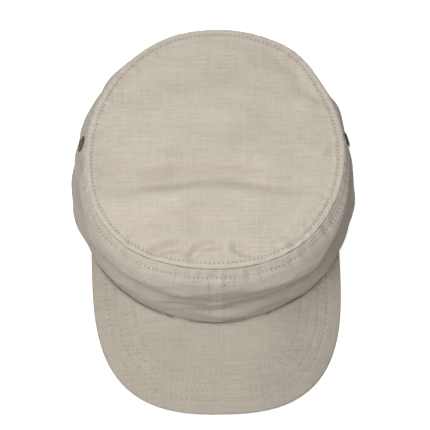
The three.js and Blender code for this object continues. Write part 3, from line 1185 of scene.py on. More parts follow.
@dataclass(frozen=True)
class BrassFinish:
    """Antique brass, darkened in its recesses and polished by use on its edges."""

    name: str = "antique_brass"
    # colour of the brass where use has polished it
    rubbed_and_highlight: Colour = (0.40, 0.31, 0.18)
    patina: Colour = (0.10, 0.075, 0.045)
    spot_scale: float = 900.0
    spot_share: float = 1.1
    fine_scale: float = 4200.0
    roughness: float = 0.56
    rubbed_roughness: float = -0.22
    bump: float = 0.15
    bump_depth: float = 0.1 * MM

    def build(self) -> Material:
        """Make the material.

        Returns:
            The material, which reads how polished by use each place is.
        """
        material, book = new_material(self.name)
        place = book.place()
        spots = book.math("SUBTRACT", book.noise(place, self.spot_scale, 3.0, 0.6), 0.5)
        fine = book.noise(place, self.fine_scale, 2.0, 0.6)
        share = book.math("MULTIPLY_ADD", spots, self.spot_share, book.read("wear"), clamp=True)
        book.surface({
            "Base Color": book.blend(share, self.patina, self.rubbed_and_highlight),
            "Roughness": book.math("MULTIPLY_ADD", share, self.rubbed_roughness, self.roughness),
            "Metallic": 1.0,
            "Normal": book.bump(self.bump, self.bump_depth, fine),
        })
        return material


@dataclass(frozen=True)
class TableFinish:
    """Plain pale tabletop."""

    name: str = "pale_table"
    colour: Colour = (0.6, 0.6, 0.6)
    tint: float = 0.985
    grain_scale: float = 40.0
    roughness: float = 0.9
    glow: float = 0.8

    def build(self) -> Material:
        """Make the material.

        Returns:
            The material.
        """
        material, book = new_material(self.name)
        grain = book.noise(book.place(), self.grain_scale)
        tinted = tuple(part * self.tint for part in self.colour)
        seen = book.add("ShaderNodeLightPath").outputs["Is Camera Ray"]
        book.surface({
            "Emission Color": (1.0, 1.0, 1.0, 1.0),
            "Emission Strength": book.math("MULTIPLY", seen, self.glow),
            "Base Color": book.blend(grain, self.colour, tinted),
            "Roughness": self.roughness,
        })
        return material


@dataclass
class Finishes:
    """The materials of the whole scene, made once."""

    top_cloth: Material
    side_cloth: Material
    peak_cloth: Material
    thread: Material
    brass: Material
    table: Material

    @classmethod
    def make(cls) -> Finishes:
        """Build the shared node groups and every material.

        Returns:
            The materials.
        """
        ripstop_group()
        needle_group()
        mottle_group()
        seam_row = ("seam_along", "seam_off", SEWING.row_inset, SEWING.pitch)
        beside_row = ("beside_along", "beside_off", SEWING.row_beside, SEWING.pitch)
        peak_rows = tuple(
            ("edge_along", "edge_off", inset, SEWING.peak_pitch) for inset in SEWING.peak_insets
        )
        return cls(
            top_cloth=ClothFinish("ripstop_top", rows=(seam_row,)).build(),
            side_cloth=ClothFinish("ripstop_sides", rows=(seam_row, beside_row)).build(),
            # The peak's copy of the same ripstop is painted darker than the crown's, as shade on
            # the peak, and its needle holes less dark.
            peak_cloth=ClothFinish(
                "ripstop_peak",
                light=(0.508, 0.464, 0.398),
                dark=(0.388, 0.350, 0.295),
                hole=(0.32, 0.285, 0.235),
                rows=peak_rows,
            ).build(),
            thread=ThreadFinish().build(),
            brass=BrassFinish().build(),
            table=TableFinish().build(),
        )


# Stitches


@dataclass
class StitchMaker:
    """One modelled stitch, set along rows."""

    radius: float = SEWING.thread
    sides: int = 6
    body: float = 0.6  # share of the stitch before its ends are drawn in
    tip: float = 0.2
    tip_size: float = 0.45
    filled: float = 0.74  # share of the pitch that the thread covers
    dive: float = 0.3 * MM
    dive_fade: Fade = Fade(0.55, 1.0)
    stand: float = 0.35  # share of its radius by which a stitch stands over the cloth
    sink: float = 0.02 * MM
    aim: float = 0.3  # share of the pitch over which a stitch takes its direction
    corners: Array = field(init=False)
    faces: list[tuple[int, ...]] = field(init=False)

    def __post_init__(self) -> None:
        """Model the stitch, one metre long along X, with ends drawn in."""
        deselect_all()
        bpy.ops.mesh.primitive_cylinder_add(
            vertices=self.sides,
            radius=1.0,
            depth=self.body,
            end_fill_type="NGON",
            rotation=(0.0, math.pi / 2, 0.0),
        )
        piece = bpy.context.object
        bpy.ops.object.transform_apply(location=False, rotation=True, scale=False)
        for end in (1.0, -1.0):
            edit_faces(piece, lambda face: face.normal.x * end > 0.9)
            out = (self.tip * end, 0.0, 0.0)
            bpy.ops.mesh.extrude_region_move(TRANSFORM_OT_translate={"value": out})
            bpy.ops.transform.resize(value=(1.0, self.tip_size, self.tip_size))
            bpy.ops.object.mode_set(mode="OBJECT")
        mesh = piece.data
        self.corners = np.array([vertex.co[:] for vertex in mesh.vertices])
        self.faces = [tuple(face.vertices) for face in mesh.polygons]
        bpy.data.objects.remove(piece)

    def row(self, name: str, points: Array, normals: Array, pitch: float) -> Piece:
        """Set stitches along a line.

        Args:
            name: name of the piece.
            points: close points of the line, on the cloth.
            normals: the cloth's normal at each.
            pitch: length of one stitch with its gap.

        Returns:
            One mesh of all the stitches.
        """
        along = arc_lengths(points)
        count = int(along[-1] / pitch)
        middles = (np.arange(count) + 0.5) * pitch
        length = pitch * self.filled

        def at(distance: Array, values: Array) -> Array:
            """Read a line's values at distances along it."""
            parts = [np.interp(distance, along, values[:, axis]) for axis in range(3)]
            return np.stack(parts, axis=1)

        centre = at(middles, points)
        aim = self.aim * pitch
        tangent = unit(at(middles + aim, points) - at(middles - aim, points))
        normal = unit(at(middles, normals))
        normal = unit(normal - tangent * np.sum(normal * tangent, axis=1, keepdims=True))
        across = np.cross(normal, tangent)
        body = self.corners * np.array([length, self.radius, self.radius])
        dip = self.dive * self.dive_fade.at(np.abs(self.corners[:, 0]) * 2)
        lift = self.radius * self.stand - self.sink - dip + body[:, 2]
        corners = (
            centre[:, None]
            + tangent[:, None] * body[None, :, 0, None]
            + across[:, None] * body[None, :, 1, None]
            + normal[:, None] * lift[None, :, None]
        ).reshape(-1, 3)
        size = len(self.corners)
        starts = range(0, count * size, size)
        faces = [tuple(index + start for index in face) for start in starts for face in self.faces]
        mesh = bpy.data.meshes.new(name)
        mesh.from_pydata((corners + np.array(CROWN_AXIS)).tolist(), [], faces)
        mesh.validate()
        mesh.update()
        piece = bpy.data.objects.new(name, mesh)
        bpy.context.scene.collection.objects.link(piece)
        soften(piece, 70.0)
        return piece


# Crown


@dataclass
class CrownWall:
    """The crown's two side panels with their seams, hem and wrinkles."""

    form: CapForm = FORM
    sewing: Sewing = SEWING
    around_steps: tuple[tuple[float, float], ...] = (*EDGE_STEPS, (150.0, 1.3))
    down_steps: tuple[tuple[float, float], ...] = (*EDGE_STEPS, (80.0, 1.15), (86.0, 0.75))
    lip_rows: int = 3  # rows of faces turned in past each seam
    lip_fall: float = 0.5 * MM
    lip_reach: float = 3.2 * MM
    front: int = 360  # place of the front among the measured angles
    # The long crease and the fold over it.
    sharp: float = 4.4 * MM  # how far the crease draws the cloth in
    bottom: float = 2.6 * MM  # how far below its line the crease is deepest
    closing: float = 3.4 * MM  # how far above its bottom the crease closes
    under: float = 10 * MM  # how far down the cloth under the crease stays in
    plump: float = 1.6 * MM  # how far the fold stands out
    plump_hump: Hump = Hump(5 * MM, 5 * MM)
    hang: float = 3.8 * MM  # how far the fold's lip hangs down
    hang_hump: Hump = Hump(1.6 * MM, 2.8 * MM)
    seam_hold: Fade = Fade(1 * MM, 7 * MM)  # the top seam holds the fold up
    blend_turn: float = 3.0  # degrees over which the crease changes
    # The roll of the upper wall over the brow.
    brow: float = 2.8 * MM
    brow_hump: Hump = Hump(15.5 * MM, 9.5 * MM)
    brow_end: Fade = Fade(30.0, 66.0)
    brow_dip: float = 0.4  # share by which the front seam flattens it
    brow_dip_hump: Hump = Hump(0.0, 8.0)
    # Smaller creases and waves.
    crease_below: Fade = Fade(2 * MM, 9 * MM)
    crease_above: Fade = Fade(0.0, 6 * MM)
    free_below: Fade = Fade(6 * MM, 16 * MM)
    free_above: Fade = Fade(1 * MM, 9 * MM)
    free_beside: Fade = Fade(5 * MM, 15 * MM)
    sway: float = 0.8 * MM
    crinkle_depth: float = 0.55 * MM
    crinkle_line: Hump = Hump(0.0, 0.22)
    crinkle_swing: Fade = Fade(-0.3, 0.9)
    crinkle_shift: float = 0.3
    bunch_shift: float = 0.4
    back_gather: float = 0.55  # share by which puckers are weaker behind
    back_gather_fade: Fade = Fade(95.0, 125.0)
    back_calm: float = 0.6  # share by which crinkles are weaker behind
    back_calm_fade: Fade = Fade(100.0, 130.0)
    # Tone by height, painted highlight and painted shade.
    proud: float = 0.6 * MM
    # painted highlight along the edges of the top seam and the front and back seams
    rubbed_and_highlight: float = 0.45
    rubbed_and_highlight_hump: Hump = Hump(1.0 * MM, 0.7 * MM)
    crease_shade: float = 0.60
    crease_shade_hump: Hump = Hump(-1.6 * MM, 1.6 * MM)
    beside_shade: float = 1.6
    turned_shade: float = 0.4
    hem_light: Fade = Fade(0.1 * MM, 0.9 * MM)
    beside_top: Fade = Fade(5 * MM, 6 * MM)
    # Rows of stitches beside the front and back seams.
    row_start: float = 0.02
    row_end: float = 1.6  # insets below the top seam
    holes_away: float = 20 * MM  # takes the needle holes off the cloth above a row's end
    holes_end: Fade = Fade(-5.6 * MM, -4.8 * MM)
    # The cloth under an eyelet.
    hole_radius: float = 3.6 * MM
    flange_clear: float = 8.5 * MM
    flange_fade: tuple[float, float] = (0.6, 1.5)
    flange_press: float = 0.15 * MM
    flat_wide: float = 320 * MM
    flat_tall: float = 98 * MM
    flat_area: float = 0.0290
    base_angle: Array = field(init=False)
    base_length: Array = field(init=False)
    seam_length: Array = field(init=False)
    mid_length: Array = field(init=False)
    flare: Ripple = Ripple(46 * MM, 17 * MM, 11)
    crinkle: Ripple = Ripple(19 * MM, 8.5 * MM, 23)
    bunch: Ripple = Ripple(5.5 * MM, 60 * MM, 37)

    def __post_init__(self) -> None:
        """Measure the wall round the crown."""
        self.base_angle = np.linspace(-180.0, 180.0, 2 * self.front + 1)
        angles, rises = np.meshgrid(self.base_angle, np.linspace(0.0, 1.0, 40), indexing="ij")
        grid = self.form.wall(angles, rises)
        self.base_length = np.linalg.norm(np.diff(grid, axis=1), axis=-1).sum(axis=1)
        seam = arc_lengths(self.form.seam(self.base_angle))
        self.seam_length = seam - seam[self.front]
        middle = arc_lengths(grid[:, 20])
        self.mid_length = middle - middle[self.front]

    def height(self, angle: Array) -> Array:
        """Length of the wall's cloth from rim to seam."""
        return np.interp(angle, self.base_angle, self.base_length)

    def slump(self, angle: Array, rise: Array) -> Array:
        """How far the soft cloth hangs outside the plain wall.

        Args:
            angle: degrees round the crown.
            rise: share of the wall's height.

        Returns:
            Level distance outwards at each place.
        """
        tall = self.height(angle)
        below, above = (1 - rise) * tall, rise * tall
        over = self.over_crease(angle, rise)
        deepest = over + self.bottom
        fold = self.plump * self.plump_hump.at(over)
        fold -= self.sharp * bell(deepest / np.where(deepest > 0, self.closing, self.under))
        out = self.crease_value("deep", angle) * fold * self.seam_hold.at(below)
        brow = self.brow * (1 - self.brow_end.at(np.abs(angle)))
        brow = brow * (1 - self.brow_dip * self.brow_dip_hump.at(angle))
        out += brow * self.brow_hump.at(below)
        creases = self.form.dents(WALL_CREASES, angle, rise)
        out -= creases * self.crease_below.at(below) * self.crease_above.at(above)
        free = self.free_below.at(below) * self.free_above.at(above)
        return out + self.sway * self.flare.at(self.along(angle), above) * free

    def along(self, angle: Array) -> Array:
        """Length of the cloth round the middle of the wall, from the front."""
        return np.interp(angle, self.base_angle, self.mid_length)

    def crease_value(self, column: str, angle: Array) -> Array:
        """A value of the long crease, softly blended from place to place."""
        places = [row.angle for row in LONG_CREASES]
        values = [getattr(row, column) for row in LONG_CREASES]
        turns = (-self.blend_turn, 0.0, self.blend_turn)
        return sum(np.interp(angle + turn, places, values) for turn in turns) / len(turns)

    def over_crease(self, angle: Array, rise: Array) -> Array:
        """Height above the long crease, over the cloth."""
        return (rise - self.crease_value("rise", angle)) * self.height(angle)

    def drape(self, angle: Array, rise: Array) -> Array:
        """Points of the slumped wall before its sewing and fine wrinkles.

        Args:
            angle: degrees round the crown.
            rise: share of the wall's height.

        Returns:
            The points.
        """
        out = self.slump(angle, rise)[..., None]
        point = self.form.wall(angle, rise) + self.form.outward(angle) * out
        lip = self.hang_hump.at(self.over_crease(angle, rise))
        held = self.seam_hold.at((1 - rise) * self.height(angle))
        point[..., 2] -= self.hang * self.crease_value("deep", angle) * lip * held
        return point

    def relief(self, angle: Array, rise: Array) -> Array:
        """Height of the sewing and fine wrinkles over the slumped wall.

        Args:
            angle: degrees round the crown.
            rise: share of the wall's height.

        Returns:
            Distance outwards at each place.
        """
        sewing = self.sewing
        tall = self.height(angle)
        below, above = (1 - rise) * tall, rise * tall
        beside, u = self.beside(angle, rise), self.along(angle)
        groove, less = Hump(sewing.row_inset, sewing.groove_reach), sewing.beside_share
        lift = sewing.lap * (1 - sewing.lap_below.at(below))
        lift = np.maximum(lift, less * sewing.lap * (1 - sewing.lap_beside.at(beside)))
        lift -= sewing.groove * groove.at(below)
        lift -= less * sewing.groove * Hump(sewing.row_beside, groove.reach).at(beside)
        gather = sewing.pucker * (1 - self.back_gather * self.back_gather_fade.at(np.abs(angle)))
        lift += gather * self.bunch.at(u, below) * sewing.pucker_below.at(below)
        bunch = self.bunch.at(above + self.bunch_shift, beside)
        lift += less * sewing.pucker * bunch * sewing.pucker_beside.at(beside)
        crinkle = self.crinkle_line.at(self.crinkle.at(u, above + self.crinkle_shift))
        crinkle = self.crinkle_depth * crinkle * self.crinkle_swing.at(self.flare.at(u, above))
        crinkle = crinkle * self.free_below.at(below) * self.free_above.at(above)
        calm = 1 - self.back_calm * self.back_calm_fade.at(np.abs(angle))
        lift -= crinkle * self.free_beside.at(beside) * calm
        near, far = (share * self.flange_clear for share in self.flange_fade)
        keep = smooth_step(near, far, self.eyelet_distance(angle, rise))
        lift = lift * keep - self.flange_press * (1 - keep)
        rolls = edge_roll(below, sewing.lip_radius) + edge_roll(above, sewing.hem_roll)
        return lift - rolls - edge_roll(beside, sewing.beside_roll)

    def beside(self, angle: Array, rise: Array) -> Array:
        """Distance from the front or back seam."""
        return np.abs(self.form.wall(angle, rise)[..., 0])

    def eyelet_distance(self, angle: Array, rise: Array) -> Array:
        """Distance from the nearer vent eyelet, over the smooth wall."""
        point = self.drape(angle, rise)
        centres = [self.eyelet_centre(side) for side in Side]
        return np.minimum(*(np.linalg.norm(point - centre, axis=-1) for centre in centres))

    def eyelet_centre(self, side: Side) -> Array:
        """Middle of an eyelet on the outside of the wall."""
        angle = np.array([side.value * self.form.eyelet_angle])
        return self.drape(angle, np.array([self.form.eyelet_rise]))[0]

    def eyelet_normal(self, side: Side) -> Array:
        """Direction in which an eyelet faces."""
        angle = np.array([side.value * self.form.eyelet_angle])
        return self.normal(angle, np.array([self.form.eyelet_rise]))[0]

    def normal(self, angle: Array, rise: Array) -> Array:
        """Outward normal of the slumped wall."""
        step = 0.01
        around = self.drape(angle + step, rise) - self.drape(angle - step, rise)
        low, high = np.maximum(rise - step, 0.0), np.minimum(rise + step, 1.0)
        return unit(np.cross(around, self.drape(angle, high) - self.drape(angle, low)))

    def surface(self, angle: Array, rise: Array) -> Array:
        """Points of the finished wall's outside."""
        lift = self.relief(angle, rise)[..., None]
        return self.drape(angle, rise) + self.normal(angle, rise) * lift

    def build(self, side: Side, finishes: Finishes) -> Piece:
        """Make one side panel.

        Args:
            side: which half of the wall.
            finishes: the scene's materials.

        Returns:
            The panel.
        """
        around, down = spaced(self.around_steps), spaced(self.down_steps)
        total = 2 * around[-1]
        around = np.concatenate([around, total - around[::-1][1:]]) / total
        half, places = slice(self.front, None), around * self.mid_length[-1]
        angles = np.interp(places, self.mid_length[half], self.base_angle[half])
        rises = 1 - down[::-1] / down[-1]
        lip = self.lip_rows
        columns, rows = len(angles) - 1 + 2 * lip, len(rises) - 1 + lip
        name = f"crown_side_{side.name.lower()}_cloth"
        piece, column, row = flat_cloth(name, columns, rows)
        inner_column = np.clip(column - lip, 0, len(angles) - 1)
        angle = side.value * angles[inner_column]
        rise = rises[np.clip(row, 0, len(rises) - 1)]
        points = self.surface(angle, rise)
        over = np.maximum(row - (len(rises) - 1), 0) / lip
        past = np.maximum(np.maximum(lip - column, column - (columns - lip)), 0) / lip
        points[:, 2] -= self.lip_fall * over
        tuck = np.maximum(self.sewing.lip_depth * past, self.lip_reach * over)
        points -= self.form.outward(angle) * tuck[:, None]
        set_points(piece, points)
        set_cloth_map(piece, self.along(angle), rise * self.height(angle))
        self.mark(piece, angle, rise, over, past)
        face_out(piece, CROWN_AXIS + CROWN_MIDDLE)
        self.cut_eyelet_hole(piece, side)
        thicken(piece, self.form.cloth)
        soften(piece)
        dress(piece, finishes.side_cloth, "crown_cloth", f"crown_side_{side.name.lower()}")
        return piece

    def mark(
        self, piece: Piece, angle: Array, rise: Array, over: Array, past: Array
    ) -> None:
        """Store what the cloth's material reads at each vertex.

        Args:
            piece: the panel.
            angle: degrees round the crown.
            rise: share of the wall's height.
            over: how far a vertex is turned in past the top seam, 0 to 1.
            past: how far it is turned in past the front or back seam, 0 to 1.
        """
        sewing, tall = self.sewing, self.height(angle)
        below, above, beside = (1 - rise) * tall, rise * tall, self.beside(angle, rise)
        # Painted highlight along the seam edges, added to the tone by height.
        seam_highlight = self.rubbed_and_highlight * self.rubbed_and_highlight_hump.at(np.minimum(below, beside))
        set_value(piece, "wear", lift_tone(self.relief(angle, rise), self.proud) + seam_highlight)
        # Painted shade in the long crease, the sewn grooves, the turned-in lips of the front and
        # back seams and along the hem.
        shade = self.crease_shade * self.crease_value("deep", angle)
        shade = shade * self.crease_shade_hump.at(self.over_crease(angle, rise))
        line = Hump(sewing.row_inset, sewing.row_shade_reach).at(below)
        down = Hump(sewing.row_beside, sewing.row_shade_reach).at(beside)
        down = down * self.beside_top.at(below)
        shade = np.maximum(shade, sewing.row_shade * np.maximum(line, self.beside_shade * down))
        shade = np.maximum(shade, self.turned_shade * past)
        set_value(piece, "gap", np.maximum(shade, 1 - self.hem_light.at(above)))
        set_value(piece, "seam_along", np.abs(np.interp(angle, self.base_angle, self.seam_length)))
        set_value(piece, "seam_off", below + sewing.lip_depth * over)
        set_value(piece, "beside_along", above)
        ended = self.holes_away * self.holes_end.at(-below)
        set_value(piece, "beside_off", beside + sewing.lip_depth * past + ended)

    def cut_eyelet_hole(self, piece: Piece, side: Side) -> None:
        """Open the cloth under an eyelet and draw the cut to a circle.

        Args:
            piece: the panel.
            side: which half of the wall it is.
        """
        centre = Vector(self.eyelet_centre(side)) + CROWN_AXIS
        normal = Vector(self.eyelet_normal(side))
        mesh = piece.data
        edit_faces(piece, lambda face: (face.center - centre).length < self.hole_radius)
        bpy.ops.mesh.delete(type="FACE")
        bpy.ops.object.mode_set(mode="OBJECT")
        uses: dict[tuple[int, int], int] = {}
        for face in mesh.polygons:
            for key in face.edge_keys:
                uses[key] = uses.get(key, 0) + 1
        rim = {index for key, count in uses.items() if count == 1 for index in key}
        for index in rim:
            away = mesh.vertices[index].co - centre
            if away.length < 2 * self.hole_radius:
                depth = normal * away.dot(normal)
                level = (away - depth).normalized() * self.hole_radius
                mesh.vertices[index].co = centre + level + depth
        mesh.update()

    def stitch(self, maker: StitchMaker, finishes: Finishes) -> None:
        """Sew the topstitching below the top seam and beside the front and back seams.

        Args:
            maker: the stitch.
            finishes: the scene's materials.
        """
        sewing = self.sewing
        for side in Side:
            word = side.name.lower()
            places = np.linspace(0.0, self.seam_length[-1], 900)
            half = slice(self.front, None)
            angles = side.value * np.interp(places, self.seam_length[half], self.base_angle[half])
            rises = 1 - sewing.row_inset / self.height(angles)
            keep = self.beside(angles, rises) > 0.6 * MM
            name = f"stitches_{word}_below_seam"
            self.sew(maker, finishes, name, angles, rises, np.abs(angles), keep)
            for end, around in (("front", 0.0), ("back", 180.0)):
                tall = self.height(np.array([around]))[0]
                rises = np.linspace(self.row_start, 1 - self.row_end * sewing.row_inset / tall, 200)
                width = self.form.wall(np.full_like(rises, around + 1.0), rises)[:, 0]
                turn = sewing.row_beside / np.abs(width)
                angles = side.value * (turn if end == "front" else 180.0 - turn)
                self.sew(maker, finishes, f"stitches_{word}_{end}", angles, rises, rises, rises > 0)

    def sew(
        self,
        maker: StitchMaker,
        finishes: Finishes,
        name: str,
        angles: Array,
        rises: Array,
        order: Array,
        keep: Array,
    ) -> None:
        """Sew one row on the wall.

        Args:
            maker: the stitch.
            finishes: the scene's materials.
            name: name of the piece.
            angles: places of the row round the crown.
            rises: places of the row up the wall.
            order: what the row grows along.
            keep: which places the row covers.
        """
        turn = np.argsort(order)
        angles, rises = angles[turn][keep[turn]], rises[turn][keep[turn]]
        points, normals = self.surface(angles, rises), self.normal(angles, rises)
        piece = maker.row(name, points, normals, self.sewing.pitch)
        dress(piece, finishes.thread, "crown_cloth")


@dataclass
class CrownTop:
    """The flat oval top panel with its folds and puckered seam."""

    form: CapForm = FORM
    sewing: Sewing = SEWING
    lip_rows: int = 3  # rows of faces turned in past the seam
    lip_fall: float = 0.2 * MM
    middle_steps: int = 62
    row_points: int = 1441
    free_inside: Fade = Fade(5 * MM, 16 * MM)
    puff_end: Fade = Fade(3.6 * MM, 9.5 * MM)
    fall_end: Fade = Fade(-20 * MM, 20 * MM)
    gather: float = 1.1  # share of the wall's puckers
    gather_hump: Hump = Hump(4 * MM, 6.5 * MM)
    drift_depth: float = 0.6 * MM
    crinkle_depth: float = 0.35 * MM
    crinkle_line: Hump = Hump(0.0, 0.2)
    wrinkle_inside: Fade = Fade(1.5 * MM, 6 * MM)
    tuck: float = 0.3 * MM  # how far the seam draws the edge in
    tuck_reach: float = 1.0 * MM
    proud_from: float = 0.2 * MM
    proud: float = 0.8 * MM
    turned_shade: float = 0.8
    allowance: float = 14 * MM  # the fall of the edge and what is turned in, over both sides
    flat_area: float = 0.0245
    drift: Ripple = Ripple(58 * MM, 26 * MM, 5)
    crinkle: Ripple = Ripple(30 * MM, 13 * MM, 17)
    bunch: Ripple = Ripple(0.066, 3.0, 29)

    def edge_distance(self, x: Array, y: Array) -> Array:
        """Distance from the seam, over the flat top."""
        angle = np.degrees(np.arctan2(x, -y))
        seam = self.form.seam(angle)
        reach = np.hypot(seam[..., 0], seam[..., 1] - self.form.top_setback)
        return (1 - np.hypot(x, y)) * reach

    def relief(self, x: Array, y: Array) -> Array:
        """Height of the sewn and wrinkled cloth over the smooth top.

        Args:
            x: places as shares of half the width.
            y: places as shares of half the length.

        Returns:
            Distance upwards at each place.
        """
        sewing = self.sewing
        inside = self.edge_distance(x, y)
        angle = np.arctan2(x, -y)
        free = self.free_inside.at(inside)
        u, v = x * self.form.top_width / 2, y * self.form.top_length / 2
        lift = sewing.top_puff * (1 - self.puff_end.at(inside))
        lift = lift - sewing.top_fall * np.square(1 - self.fall_end.at(inside)) * 4
        lift = lift - sewing.top_groove * Hump(sewing.row_inset, sewing.top_groove_reach).at(inside)
        bunch = self.bunch.at(np.cos(angle), np.sin(angle))
        lift += sewing.pucker * self.gather * bunch * self.gather_hump.at(inside)
        lift += self.drift_depth * self.drift.at(u, v) * free
        lift -= self.crinkle_depth * self.crinkle_line.at(self.crinkle.at(u, v)) * free
        lift -= self.form.top_folds(TOP_WRINKLES, x, y) * self.wrinkle_inside.at(inside)
        return lift - edge_roll(inside, sewing.lip_radius)

    def surface(self, x: Array, y: Array) -> Array:
        """Points of the finished top's outside."""
        point = self.form.top(x, y)
        point[..., 2] += self.relief(x, y)
        return point

    def build(self, finishes: Finishes) -> Piece:
        """Make the top panel.

        Args:
            finishes: the scene's materials.

        Returns:
            The panel.
        """
        edge = spaced(EDGE_STEPS) / (self.form.top_width / MM / 2)
        inner = np.linspace(0.0, 1 - edge[-1], self.middle_steps + 1)
        reaches = np.concatenate([inner, 1 - edge[::-1][1:]])
        lip = self.lip_rows
        half = len(reaches) - 1 + lip
        piece, column, row = flat_cloth("crown_top_cloth", 2 * half, 2 * half)
        a, b = column - half, row - half
        ring = np.maximum(np.abs(a), np.abs(b))
        reach = reaches[np.clip(ring, 0, len(reaches) - 1)]
        over = np.maximum(ring - (len(reaches) - 1), 0) / lip
        safe = np.maximum(ring, 1)
        a, b = a / safe * reach, b / safe * reach
        x = a * np.sqrt(1 - b * b / 2)
        y = b * np.sqrt(1 - a * a / 2)
        points = self.surface(x, y)
        points[:, 2] -= (self.form.cloth + self.lip_fall) * over
        inside, setback = self.edge_distance(x, y), self.form.top_setback
        tuck = self.tuck * bell(inside / self.tuck_reach) / (self.form.top_width / 2)
        points[:, 0] *= 1 - tuck
        points[:, 1] = setback + (points[:, 1] - setback) * (1 - tuck)
        set_points(piece, points)
        set_cloth_map(piece, points[:, 0], points[:, 1])
        set_value(piece, "wear", lift_tone(self.relief(x, y) - self.proud_from, self.proud))
        sewing = self.sewing
        # Painted shade along the row of stitches and on the edge turned in under the seam.
        line = sewing.top_row_shade * Hump(sewing.row_inset, sewing.top_row_shade_reach).at(inside)
        set_value(piece, "gap", np.maximum(self.turned_shade * over, line))
        set_value(piece, "seam_along", self.row_length(np.degrees(np.arctan2(x, -y))))
        set_value(piece, "seam_off", inside - sewing.lip_depth * over)
        face_out(piece, CROWN_AXIS)
        thicken(piece, self.form.cloth)
        soften(piece)
        dress(piece, finishes.top_cloth, "crown_cloth", "crown_top")
        return piece

    def row_places(self, angle: Array) -> tuple[Array, Array]:
        """Places of the row of stitches, as shares of the top's half sizes."""
        seam = self.form.seam(angle)
        reach = np.hypot(seam[..., 0], seam[..., 1] - self.form.top_setback)
        radius = 1 - self.sewing.row_inset / reach
        turn = np.radians(angle)
        return radius * np.sin(turn), -radius * np.cos(turn)

    def row_length(self, angle: Array) -> Array:
        """Length of the row of stitches from the back, going once round."""
        around = np.linspace(-180.0, 180.0, self.row_points)
        x, y = self.row_places(around)
        return np.interp(angle, around, arc_lengths(self.surface(x, y)))

    def stitch(self, maker: StitchMaker, finishes: Finishes) -> None:
        """Sew the row inside the top seam.

        Args:
            maker: the stitch.
            finishes: the scene's materials.
        """
        x, y = self.row_places(np.linspace(-180.0, 180.0, self.row_points))
        points = self.surface(x, y)
        normals = np.zeros_like(points)
        normals[:, 2] = 1.0
        piece = maker.row("stitches_crown_top", points, normals, self.sewing.pitch)
        dress(piece, finishes.thread, "crown_cloth")


# Peak


@dataclass(frozen=True)
class Rays:
    """Lines from the peak's edge to its root, with the distance from the edge along each."""

    edge: Array
    root: Array
    steps: Array
    away: Array


